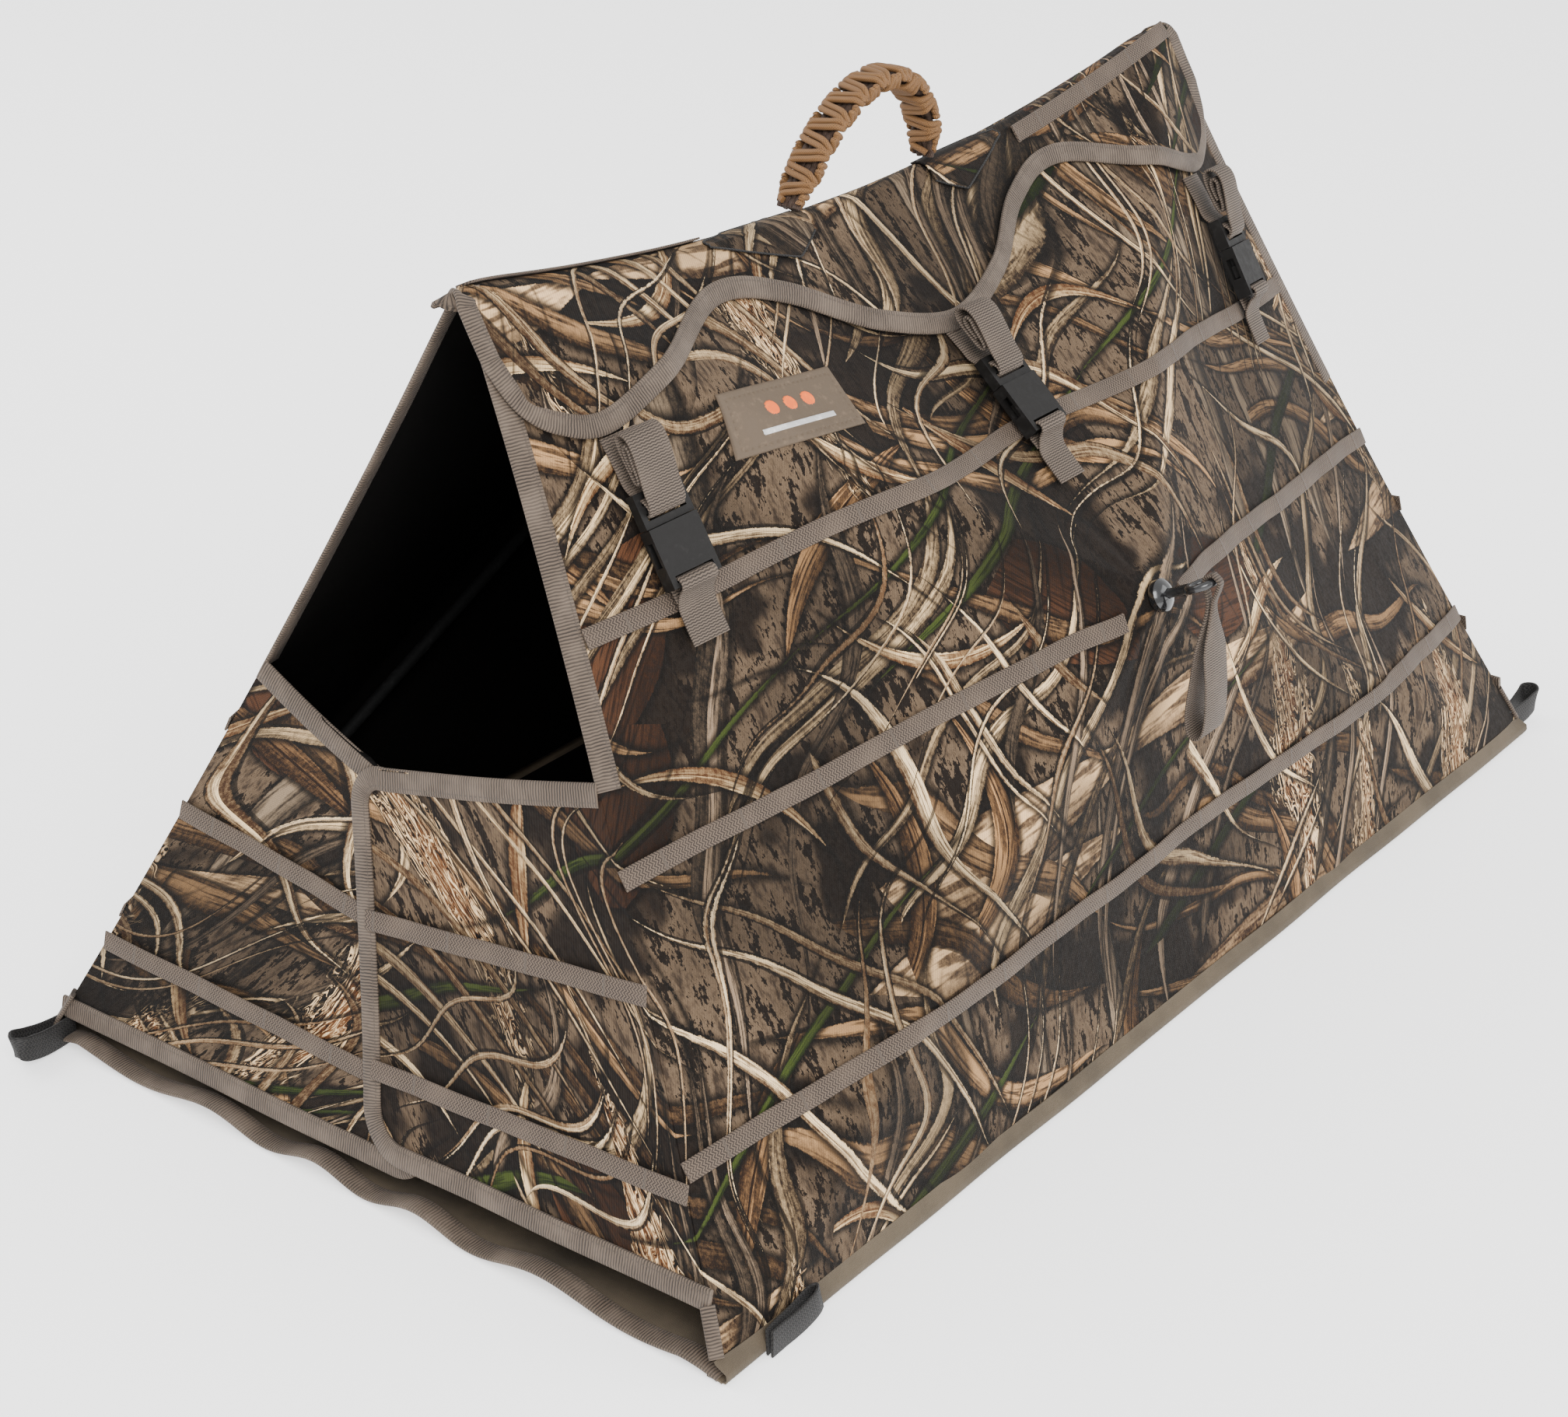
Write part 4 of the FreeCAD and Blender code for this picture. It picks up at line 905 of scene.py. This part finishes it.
def make_door(kind, hand):
    """One door leaf, its tapes and its two straps."""
    name = f"{'left' if hand < 0 else 'right'}_{kind}_door"
    s = np.linspace(0, 1, 71)[None, :]
    eased = (0.5 - 0.5 * np.cos(np.linspace(0, math.pi, 71)))[:, None]
    r = eased * 0.5 + np.linspace(0, 1, 71)[:, None] * 0.5
    points, y, z = door_grid(kind, hand, s, r)
    first = y[:, :1]
    run = np.abs(y - first)
    u = side_edge(z / SIN) + run
    shift = 0.0 if kind == "outer" else 2.37
    sign = -1 if (hand < 0) == (kind == "outer") else 1
    uvs = np.stack([sign * u + shift, z / SIN + shift], -1)
    flip = (hand < 0) != (kind == "outer")
    shape = Shape()
    add_cloth(shape, points, uvs, flip=not flip)
    leaf = shape.make(f"{name}_leaf", [camo, inside])

    edge_s = np.concatenate([np.linspace(0.0, 1, 70), np.ones(90), np.linspace(1, 0.0, 70)])
    eased_rise = 0.5 - 0.5 * np.cos(np.linspace(0, math.pi, 92)[1:-1])
    edge_r = np.concatenate([np.zeros(70), eased_rise, np.ones(70)])
    path, _, _ = door_grid(kind, hand, edge_s, edge_r)
    path = resample(path, 240)
    normals = np.tile([hand * math.cos(END_LEAN), 0, math.sin(END_LEAN)], (len(path), 1))
    across, normals = path_frames(path, normals, points[35, 35])
    trim = Shape()
    add_sweep(trim, path, across, normals, folded_tape(NARROW_BINDING))
    edging = trim.make(f"{name}_tapes", [tape])

    rows = Shape()
    for level in (0.22, 0.595):
        s_row = np.linspace(-0.01 if kind == "outer" else 0.0, 0.965, 70)
        row, _, _ = door_grid(kind, hand, s_row, np.full_like(s_row, level), 0.0016)
        loose = np.abs(np.sin(s_row * math.pi * 3.6))[:, None]
        row = row + normals[:1] * 0.0009 * loose
        row_normals = np.tile(normals[0], (len(row), 1))
        row_across, row_normals = path_frames(row, row_normals)
        add_sweep(rows, row, row_across, row_normals, rounded_profile(STRAP, STRAP_THICK))
    straps = rows.make(f"{name}_straps", [narrow_strap])
    return name, leaf, edging, straps


for hand in (-1, 1):
    for kind in ("outer", "inner"):
        name, leaf, edging, straps = make_door(kind, hand)
        for item in (leaf, edging, straps):
            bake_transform(item)
        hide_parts(name)
        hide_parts(f"{name}_webbing")


# ---- roof flap --------------------------------------------------------------------------------------

FLAP_DEPTHS = [(0, 0.130), (0.062, 0.112), (0.120, 0.076), (0.172, 0.062), (0.235, 0.084), (0.296, 0.102),
               (0.328, 0.092), (0.345, 0.072), (0.3525, 0.046)]


def flap_edge(count):
    """The flap's scalloped lower edge as (x, depth below the ridge)."""
    right = FLAP_DEPTHS[1:]
    points = [(-x, d) for x, d in right[::-1]] + [FLAP_DEPTHS[0]] + right
    edge = spline(points, count)
    edge[:, 1] -= SLOPE - ridge_v(np.clip(edge[:, 0], -HALF_RIDGE, HALF_RIDGE))
    return edge


def flap_points(x, depth, lift=0.0):
    """Points of the roof flap; a negative depth is behind the ridge."""
    x, depth = np.broadcast_arrays(np.asarray(x, float), np.asarray(depth, float))
    inner_x = np.clip(x, -HALF_RIDGE, HALF_RIDGE)
    top = ridge_v(inner_x)

    def raw(d):
        ahead = np.maximum(d, 0)
        flat = to_world("front", x, top - ahead, surface(inner_x, top - ahead) + FLAP_LIFT + lift)
        behind = np.maximum(-d, 0)
        back = to_world("rear", -x, top - behind, surface(-inner_x, top - behind, 5.0) + 0.0009 + lift)
        return np.where((d >= 0)[..., None], flat, back)

    step = 0.0065
    smooth = (raw(depth - 2 * step) + 2 * raw(depth - step) + 2 * raw(depth) + 2 * raw(depth + step)
              + raw(depth + 2 * step)) / 8
    near = np.exp(-(depth / 0.024) ** 2)[..., None]
    raised = np.array([0, 0, 0.0022]) * np.exp(-(depth / 0.012) ** 2)[..., None]
    return raw(depth) * (1 - near) + smooth * near + raised


def flap_x(x, depth):
    """The flap is a little shorter behind the ridge than in front of it."""
    behind = np.clip((0.014 - depth) / 0.024, 0, 1)
    return x * (1 - behind * (1 - HALF_RIDGE / FLAP_HALF))


FLAP_OUT = np.array([0, -SIN, COS])


def flap_slack(x, depth):
    """How far the flap's loose lobes stand off the panel."""
    free = np.clip((depth - 0.03) / 0.06, 0, 1)
    lap = 0.0012 * free * (1 + ripple(np.stack([x, depth, 0 * x], -1), 0.05, 9.0))
    return lap[..., None] * FLAP_OUT


def make_flap():
    """The cloth that runs over the ridge and down to the three lobes, with its tape and its seam."""
    edge = flap_edge(221)
    rows = 81
    r = np.linspace(0, 1, rows)[:, None]
    back = 0.018
    x = np.broadcast_to(edge[None, :, 0], (rows, len(edge)))
    depth = -back + r * (edge[None, :, 1] + back)
    x = flap_x(x, depth)
    points = flap_points(x, depth) + flap_slack(x, depth)
    shape = Shape()
    uvs = np.stack([x + 0.77, 1.31 - depth], -1)
    add_cloth(shape, points, uvs, flip=True)
    cloth = shape.make("roof_flap_cloth", [camo, inside])

    side = np.linspace(-0.016, 0.036, 12)
    left = np.stack([np.full(12, -FLAP_HALF), side], 1)
    right = np.stack([np.full(12, FLAP_HALF), side[::-1]], 1)
    outline = resample(np.vstack([left, edge, right]), 420)
    outline[:, 0] = flap_x(outline[:, 0], outline[:, 1])
    path = flap_points(outline[:, 0], outline[:, 1]) + flap_slack(outline[:, 0], outline[:, 1])
    normals = np.tile(FLAP_OUT, (len(path), 1))
    middle = flap_points(np.array([0.0]), np.array([0.06]))[0]
    across, normals = path_frames(path, normals, middle)
    trim = Shape()
    add_sweep(trim, path, across, normals, folded_tape(0.0120))
    edging = trim.make("roof_flap_tape", [tape])
    return cloth, edging


flap_cloth, flap_tape = make_flap()
for item in (flap_cloth, flap_tape):
    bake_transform(item)
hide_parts("roof_flap")
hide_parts("roof_flap_binding")


# ---- buckles and their straps -----------------------------------------------------------------------

def facet_frame(x, up, lift):
    """Origin and axes of the flat facet under a buckle: along, up the slope and out."""
    hub = np.array([0, HUB_UP, HUB_RISE])

    def rim(rx):
        drop = RIDGE_SAG * (1 - (rx / HALF_RIDGE) ** 2)
        return np.array([rx, SLOPE - drop * SIN, -drop * COS])

    if abs(x) < 1e-9:
        q, s = rim(0.17), rim(0.0)
    else:
        q, s = np.array([math.copysign(HALF_BASE, x), 0, 0]), rim(math.copysign(HALF_RIDGE, x))
    normal = unit(np.cross(q - hub, s - hub))
    if normal[2] < 0:
        normal = -normal
    if abs(x) < 1e-9:
        normal = unit(np.array([0, normal[1], normal[2]]))
    z = hub[2] - (normal[0] * (x - hub[0]) + normal[1] * (up - hub[1])) / normal[2]
    upward = unit(np.array([0, 1, -normal[1] / normal[2]]))
    along = np.cross(upward, normal)
    origin = np.array([x, up, z]) + normal * lift

    def turned(d):
        return np.array([d[0], d[1] * COS - d[2] * SIN, d[1] * SIN + d[2] * COS])

    return turned(origin) + [0, -HALF_WIDTH, 0], turned(along), turned(upward), turned(normal)


BUCKLES = {"left": (-0.292, 0.158), "middle": (0.0, 0.174), "right": (0.292, 0.158)}
BUCKLE_LIFT = 0.0034


def strap_along(shape, place, line, count=90):
    """Webbing whose middle follows (up, out) points in a buckle's frame."""
    origin, along, upward, out = place
    flat = spline(line, count)
    path = origin + flat[:, :1] * upward + flat[:, 1:] * out
    tangent = unit(np.gradient(path, axis=0))
    normals = unit(np.cross(tangent, np.tile(along, (count, 1))))
    across = np.tile(along, (count, 1))
    add_sweep(shape, path, across, normals, rounded_profile(WEBBING, WEBBING_THICK))


def make_buckle_straps(name, place):
    """The strap under the lobe and through the plug, with its tail rolled over the front."""
    shape = Shape()
    under = [(0.054, -0.0052), (0.046, -0.0042), (0.034, -0.0030), (0.0255, -0.0022), (0.0190, 0.0020),
             (0.0150, 0.0085), (0.0100, 0.0112), (0.0062, 0.0088)]
    strap_along(shape, place, under)
    roll = [(0.0064, 0.0022), (0.0068, 0.0080), (0.0100, 0.0124), (0.0200, 0.0142), (0.0320, 0.0172),
            (0.0420, 0.0190), (0.0490, 0.0178), (0.0525, 0.0135), (0.0515, 0.0095), (0.0455, 0.0080),
            (0.0360, 0.0082), (0.0265, 0.0090), (0.0245, 0.0112), (0.0280, 0.0130), (0.0370, 0.0140),
            (0.0430, 0.0152), (0.0462, 0.0130), (0.0430, 0.0108), (0.0370, 0.0106), (0.0320, 0.0112)]
    strap_along(shape, place, roll, count=200)
    return shape.make(f"buckle_webbing_{name}", [wide_strap])


def make_socket_webbing(places):
    """The sewn loop and flat tail below each socket."""
    shape = Shape()
    for place in places.values():
        tail = [(-0.0670, -0.0018), (-0.0560, -0.0018), (-0.0450, -0.0008), (-0.0385, 0.0050),
                (-0.0360, 0.0100), (-0.0330, 0.0116), (-0.0300, 0.0100), (-0.0292, 0.0050),
                (-0.0300, 0.0000), (-0.0340, -0.0006), (-0.0420, -0.0004)]
        strap_along(shape, place, tail, count=120)
    return shape.make("socket_webbing", [wide_strap])


places = {name: facet_frame(x, SLOPE - drop, BUCKLE_LIFT) for name, (x, drop) in BUCKLES.items()}
for name, place in places.items():
    strap_piece = make_buckle_straps(name, place)
    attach(strap_piece, f"buckle_plug_{name}")
    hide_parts(f"buckle_strap_{name}")
socket_piece = make_socket_webbing(places)
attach(socket_piece, "front_panel")
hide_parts("socket_straps")


# ---- patch ------------------------------------------------------------------------------------------

def make_patch():
    """A moulded rubber patch with a raised rim, stitches round it and three plain dots over a bar."""
    left, right, low, top = -0.2195, -0.1125, SLOPE - 0.152, SLOPE - 0.110
    rows, columns = 85, 215
    s = np.linspace(left, right, columns)[None, :]
    t = np.linspace(low, top, rows)[:, None]
    x, v = np.broadcast_arrays(s, t)
    from_side = np.minimum(np.minimum(x - left, right - x), np.minimum(v - low, top - v))
    height = 0.0019 - 0.0012 * np.clip(1 - from_side / 0.0012, 0, 1) ** 2
    height = height - 0.0006 * np.exp(-((from_side - 0.0045) / 0.0007) ** 2)
    seam_run = np.where(np.minimum(x - left, right - x) < np.minimum(v - low, top - v), v, x)
    stitch = 0.5 + 0.5 * np.sin(seam_run * 2 * math.pi / 0.0044)
    height = height + 0.0006 * (stitch > 0.35) * np.exp(-((from_side - 0.0045) / 0.0005) ** 2)
    middle_x, middle_v = (left + right) / 2, (low + top) / 2
    u = (x - middle_x) / 0.036
    w = (v - middle_v) / 0.012
    dots = np.zeros_like(u)
    for spot in (-0.5, 0.0, 0.5):
        dome = 1 - ((u - spot) / 0.17) ** 2 - ((w - 0.35) / 0.42) ** 2
        dots = np.maximum(dots, np.clip(dome / 0.25, 0, 1))
    bar = np.clip((0.17 - np.abs(w + 0.78)) / 0.06, 0, 1) * np.clip((0.92 - np.abs(u)) / 0.03, 0, 1)
    height = height + 0.0008 * np.clip(dots + bar, 0, 1)
    tilt = math.radians(-6.5)
    away, above = x - middle_x, v - middle_v
    away, above = away * 0.96, above * 0.90
    x = middle_x - 0.012 + away * math.cos(tilt) - above * math.sin(tilt)
    v = middle_v + away * math.sin(tilt) + above * math.cos(tilt)
    points = on_surface("front", x, v, height)
    base = on_surface("front", x, v, 0.0002)
    shape = Shape()
    uvs = np.stack([x, v], -1)
    shape.add(points, grid_faces(rows, columns), uvs)
    loop = grid_rim(rows, columns)
    edge = np.array([[points[i, j], base[i, j]] for i, j in loop])
    shape.add(edge, grid_faces(len(loop), 2), np.zeros((len(loop), 2, 2)))
    patch = shape.make("maker_patch_rubber", [rubber, patch_orange, patch_grey])
    slots = np.zeros(len(patch.data.polygons), np.int32)
    cells = (rows - 1) * (columns - 1)
    dot_cell = dots[:-1, :-1].ravel() > 0.5
    bar_cell = bar[:-1, :-1].ravel() > 0.5
    slots[:cells] = np.where(dot_cell, 1, np.where(bar_cell, 2, 0))
    patch.data.polygons.foreach_set("material_index", slots)
    return patch


patch_piece = make_patch()
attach(patch_piece, "front_panel")
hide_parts("maker_patch")


# ---- handle -----------------------------------------------------------------------------------------

def handle_line():
    """The middle line of the carry handle, leaning to the right, with its frames."""
    count = 400
    points = [(-0.0660, 0, 0.4800), (-0.0560, 0, 0.4910), (-0.0360, 0, 0.5130), (-0.0090, 0, 0.5310),
              (0.0180, 0, 0.5385), (0.0410, 0, 0.5350), (0.0590, 0, 0.5210), (0.0690, 0, 0.5010),
              (0.0700, 0, 0.4800)]
    path = spline(points, count)
    tangent = unit(np.gradient(path, axis=0))
    side = np.tile([0, 1.0, 0], (count, 1))
    out = unit(np.cross(tangent, side))
    return path, side, out * np.sign(out[count // 2, 2])


def add_cord(shape, path, radius, slot, sides=10):
    """A round cord along a path."""
    path = np.asarray(path, float)
    tangent = unit(np.gradient(path, axis=0))
    side = unit(np.cross(tangent, np.tile([0.3, 0.2, 0.93], (len(path), 1))))
    out = np.cross(side, tangent)
    circle = [(radius * math.cos(2 * math.pi * k / sides), radius * math.sin(2 * math.pi * k / sides))
              for k in range(sides)]
    add_sweep(shape, path, side, out, circle, slot)


def make_handle():
    """A cobra braid: paired tan cords wrapped both ways round a dark core."""
    path, side, out = handle_line()
    run = np.concatenate([[0], np.cumsum(np.linalg.norm(np.diff(path, axis=0), axis=1))])
    total = run[-1]
    shape = Shape()
    for offset in (-0.0058, -0.0020, 0.0020, 0.0058):
        wobble = 0.0006 * np.sin(run * 2 * math.pi / 0.006 + offset * 900)
        add_cord(shape, path + side * offset + out * wobble[:, None] * 0.6, 0.0023, 1)
    knot = 0.0107
    fine = np.linspace(0.003, total - 0.003, 1500)

    def at(values):
        return np.stack([np.interp(fine, run, values[:, k]) for k in range(3)], 1)

    start_fade = np.exp(-((fine - fine[0]) / 0.010) ** 2)
    end_fade = np.exp(-((fine[-1] - fine) / 0.010) ** 2)
    narrow = 1 - 0.35 * start_fade - 0.35 * end_fade
    for face in (1, -1):
        for phase in (-0.0021, 0.0021):
            swing = np.sin(math.pi * (fine - phase) / knot)
            wide = 0.0100 * np.tanh(1.7 * swing) / math.tanh(1.7) + 0.0012 * swing ** 5
            over = 0.0052 - 0.0062 * np.abs(swing) ** 5
            spot = at(path) + at(side) * (face * narrow * wide)[:, None]
            spot = spot + at(out) * (face * narrow * over + 0.0012 * np.abs(swing) ** 6)[:, None]
            add_cord(shape, spot, 0.0020, 0, 9)
    return shape.make("carry_handle_braid", [tan_cord, core_cord])


handle_piece = make_handle()
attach(handle_piece, "carry_handle")
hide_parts("carry_handle")


def make_anchors():
    """The folded kite patches that hold the handle's ends, lying over the ridge behind it."""
    shape = Shape()
    rim_tape = Shape()
    for sign, inner, outer in ((-1, 0.060, 0.150), (1, 0.062, 0.140)):
        rows, columns = 25, 41
        s = np.linspace(0, 1, columns)[None, :]
        r = np.linspace(-1, 1, rows)[:, None]
        x = sign * (inner + s * (outer - inner))
        half = 0.010 + 0.008 * np.minimum(s / 0.28, 1)
        half = half * (1 - 0.86 * np.clip((s - 0.28) / 0.72, 0, 1))
        depth = 0.006 + r * half + 0.006 * np.minimum(s / 0.28, 1) * (1 - s)
        x, depth = np.broadcast_arrays(x, depth)
        puff = 0.0020 * (1 - r ** 2) * (1 - s) ** 0.5
        points = flap_points(x, depth, 0.0020) + puff[..., None] * np.array([0, -0.5, 0.8])
        uvs = np.stack([x + 1.9, depth + 0.4], -1)
        add_cloth(shape, points, uvs, 0.0010, flip=sign > 0)
        loop = grid_rim(rows, columns)[:2 * columns + rows - 2]
        path = resample(np.array([points[i, j] for i, j in loop]), 120)
        across, normals = path_frames(path, np.tile([0, 0.1, 1.0], (len(path), 1)))
        add_sweep(rim_tape, path, across, normals, rounded_profile(0.0016, 0.0012))
    anchors = shape.make("handle_anchor_cloth", [camo, inside])
    stitching = rim_tape.make("handle_anchor_edges", [black_strap])
    return anchors, stitching


anchor_cloth, anchor_edges = make_anchors()
for item in (anchor_cloth, anchor_edges):
    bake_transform(item)
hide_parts("handle_anchors")


def make_ridge_webbing():
    """The two short stubble straps along the top of the rear panel."""
    shape = Shape()
    for sign in (-1, 1):
        x = sign * np.linspace(0.152, HALF_RIDGE - 0.004, 60)
        depth = np.linspace(-0.002, -0.001, 60) if sign < 0 else np.linspace(0.013, 0.007, 60)
        path = flap_points(x, depth, 0.0018)
        above = flap_points(x, depth, 0.006)
        across, normals = path_frames(path, above - path)
        add_sweep(shape, path, across, normals, rounded_profile(STRAP, STRAP_THICK))
    return shape.make("ridge_stubble_webbing", [narrow_strap])


ridge_piece = make_ridge_webbing()
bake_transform(ridge_piece)
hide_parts("ridge_stubble_straps")


# ---- pull straps, stake loops and pockets -----------------------------------------------------------

def make_pull_strap(side):
    """Webbing bunched through the eye, sewn below it and opening into a hanging loop."""
    low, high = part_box(f"{side}_pull_strap")
    face = -1 if side == "front" else 1
    eye = np.array([0, (low.y + high.y) / 2, high.z - 0.0047])
    drop = eye[2] - low.z
    line = [(0.0, 0.0053), (0.0048, 0.0015), (0.0042, -0.0040), (0.0018, -0.0120), (0.0020, -0.0220),
            (0.0040, -0.0420), (0.0066, -0.0650), (0.0070, -0.0850), (0.0048, -drop + 0.0045),
            (0.0, -drop + 0.0012),
            (-0.0044, -drop + 0.0050), (-0.0060, -0.0820), (-0.0036, -0.0550), (-0.0016, -0.0300),
            (-0.0016, -0.0140), (-0.0042, -0.0040), (-0.0048, 0.0015), (0.0, 0.0053)]
    flat = spline(line, 220)
    path = eye + np.stack([0 * flat[:, 0], face * flat[:, 0], flat[:, 1]], 1)
    across = np.tile([1.0, 0, 0], (len(path), 1))
    tangent = unit(np.gradient(path, axis=0))
    normals = unit(np.cross(tangent, across))
    below = np.clip((-flat[:, 1] - 0.012) / 0.034, 0, 1)
    opening = 0.20 + 0.80 * below * below * (3 - 2 * below)
    widths = np.stack([opening, 1.25 - 0.25 * below], 1)
    shape = Shape()
    add_sweep(shape, path, across, normals, rounded_profile(WEBBING, WEBBING_THICK), widths=widths)
    return shape.make(f"{side}_pull_webbing", [wide_strap])


def make_stake_loops():
    """Black webbing loops standing out from the four floor corners."""
    shape = Shape()
    for x_sign in (-1, 1):
        for y_sign in (-1, 1):
            line = [(-0.012, 0.0030), (0.004, 0.0044), (0.018, 0.0056), (0.0275, 0.0050), (0.0315, 0.0),
                    (0.0275, -0.0050), (0.018, -0.0056), (0.004, -0.0044), (-0.012, -0.0030)]
            flat = spline(line, 110)
            rise = 0.0105 + 0.0050 * np.clip(flat[:, 0] / 0.03, 0, 1) ** 2
            if x_sign < 0 and y_sign < 0:
                x = -0.421 + flat[:, 0]
                y = -HALF_WIDTH - 0.0035 + flat[:, 1] * 0.55 + 0.07 * np.clip(flat[:, 0], -1, 0)
                rise = rise - 0.0015
            else:
                x = x_sign * (HALF_BASE + flat[:, 0])
                y = y_sign * (HALF_WIDTH - 0.012) + flat[:, 1]
            path = np.stack([x, y, rise], 1)
            tangent = unit(np.gradient(path, axis=0))
            upright = unit(np.tile([0.25 * x_sign, 0, 1.0], (len(path), 1)))
            normals = unit(np.cross(upright, tangent))
            across = np.cross(tangent, normals)
            add_sweep(shape, path, across, normals, rounded_profile(0.0175, 0.0017))
    return shape.make("stake_loop_webbing", [black_strap])


def make_pockets(side):
    """Gathered sleeves over the pole ends, built round the CAD sleeves' own boxes."""
    node_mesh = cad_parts[f"{side}_corner_pockets"].data
    where = np.array([v.co for v in node_mesh.vertices])
    shape = Shape()
    for x_sign in (-1, 1):
        for high in (False, True):
            pick = (np.sign(where[:, 0]) == x_sign) & ((where[:, 2] > 0.2) == high)
            cluster = where[pick]
            centre = cluster.mean(0)
            _, _, axes = np.linalg.svd(cluster - centre)
            hub_way = np.array([0, -0.228 if side == "front" else 0.228, 0.27]) - centre
            spans = [np.ptp((cluster - centre) @ a) for a in axes]
            axis = axes[int(np.argmax([abs(np.dot(a, unit(hub_way))) for a in axes]))]
            axis = axis * np.sign(np.dot(axis, hub_way))
            length = min(spans[0], 0.020)
            steps = np.linspace(-0.5, 0.5, 16)
            path = centre + steps[:, None] * length * axis
            across = unit(np.cross(axis, [0, 0, 1.0]))
            normals = np.cross(axis, across)
            swell = 1 + 0.04 * np.sin(steps * 30) - 0.10 * (steps > 0.42)
            turns = np.linspace(0, 2 * math.pi, 25)[:-1]
            circle = [(0.0072 * math.cos(a), 0.0072 * math.sin(a)) for a in turns]
            add_sweep(shape, path, np.tile(across, (16, 1)), np.tile(normals, (16, 1)), circle,
                      widths=np.stack([swell, swell], 1))
    return shape.make(f"{side}_pocket_sleeves", [black_strap])


for panel_side, panel_body in (("front", "front_panel"), ("rear", "tent_body")):
    pull = make_pull_strap(panel_side)
    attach(pull, f"{panel_side}_pull_strap")
    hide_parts(f"{panel_side}_pull_strap")
    sleeves = make_pockets(panel_side)
    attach(sleeves, panel_body)
    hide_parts(f"{panel_side}_corner_pockets")
loops = make_stake_loops()
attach(loops, "tent_body")
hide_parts("stake_loops")


# ---- hard parts: materials and softened edges -------------------------------------------------------

FINISHES = {
    "buckle": black_plastic,
    "latch_arm": black_plastic,
    "hub_cap": gloss_plastic,
    "eye_bolt": painted_steel,
    "hub_fasteners": zinc,
    "pole_tips": tip_plastic,
    "_pole_": rod_finish,
    "_hub": black_plastic,
}
for name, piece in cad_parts.items():
    if piece.hide_render:
        continue
    finish = next(material for key, material in FINISHES.items() if key in name)
    piece.data.materials.clear()
    piece.data.materials.append(finish)
    if name.startswith(("buckle_socket", "buckle_plug", "latch_arm")):
        soften = piece.modifiers.new("soft_edges", "BEVEL")
        soften.width = 0.0007
        soften.segments = 2
        soften.limit_method = "ANGLE"


# ---- studio -----------------------------------------------------------------------------------------

def make_camera():
    """The camera of the fitted view: azimuth, elevation, roll, place and lens."""
    azimuth, elevation, roll = math.radians(-51.84), math.radians(26.79), math.radians(-0.27)
    back = Vector((math.sin(azimuth) * math.cos(elevation), -math.cos(azimuth) * math.cos(elevation),
                   math.sin(elevation)))
    right = (-back).cross(Vector((0, 0, 1))).normalized()
    down = (-back).cross(right)
    c, s = math.cos(roll), math.sin(roll)
    view_right = right * c - down * s
    view_down = right * s + down * c
    data = bpy.data.cameras.new("studio_camera")
    data.lens = 69.58
    data.sensor_width = 36.0
    camera = bpy.data.objects.new("studio_camera", data)
    camera.location = Vector((-2.78926, -2.08137, 2.00041)) * HEIGHT
    turn = Matrix((view_right, -view_down, back)).transposed()
    camera.rotation_euler = turn.to_euler()
    bpy.context.scene.collection.objects.link(camera)
    bpy.context.scene.camera = camera


def make_studio():
    """A white floor, a white world and three area lamps."""
    floor_mesh = bpy.data.meshes.new("studio_floor")
    floor_mesh.from_pydata([(-6, -6, -0.0004), (6, -6, -0.0004), (6, 6, -0.0004), (-6, 6, -0.0004)], [],
                           [[0, 1, 2, 3]])
    floor_piece = bpy.data.objects.new("studio_floor", floor_mesh)
    n = Nodes("studio_floor")
    floor_mesh.materials.append(n.done((0.90, 0.90, 0.90), 0.9, specular=0.1))
    n.shader.inputs["Emission Color"].default_value = (1.0, 1.0, 1.0, 1.0)
    n.shader.inputs["Emission Strength"].default_value = 0.9
    bpy.context.scene.collection.objects.link(floor_piece)
    world = bpy.data.worlds.new("studio")
    world.use_nodes = True
    world.node_tree.nodes["Background"].inputs[0].default_value = (1.0, 1.0, 1.0, 1.0)
    world.node_tree.nodes["Background"].inputs[1].default_value = 1.4
    bpy.context.scene.world = world
    lamps = {"key": ((-2.2, -2.4, 2.8), 2.2, 190), "fill": ((1.8, -2.6, 1.6), 2.6, 62),
             "back": ((-0.5, 2.8, 2.4), 2.4, 80)}
    for name, (place, size, power) in lamps.items():
        data = bpy.data.lights.new(name, "AREA")
        data.size = size
        data.energy = power
        lamp = bpy.data.objects.new(name, data)
        lamp.location = place
        lamp.rotation_euler = (Vector((0, 0, 0.25)) - Vector(place)).to_track_quat("-Z", "Y").to_euler()
        bpy.context.scene.collection.objects.link(lamp)


make_camera()
make_studio()
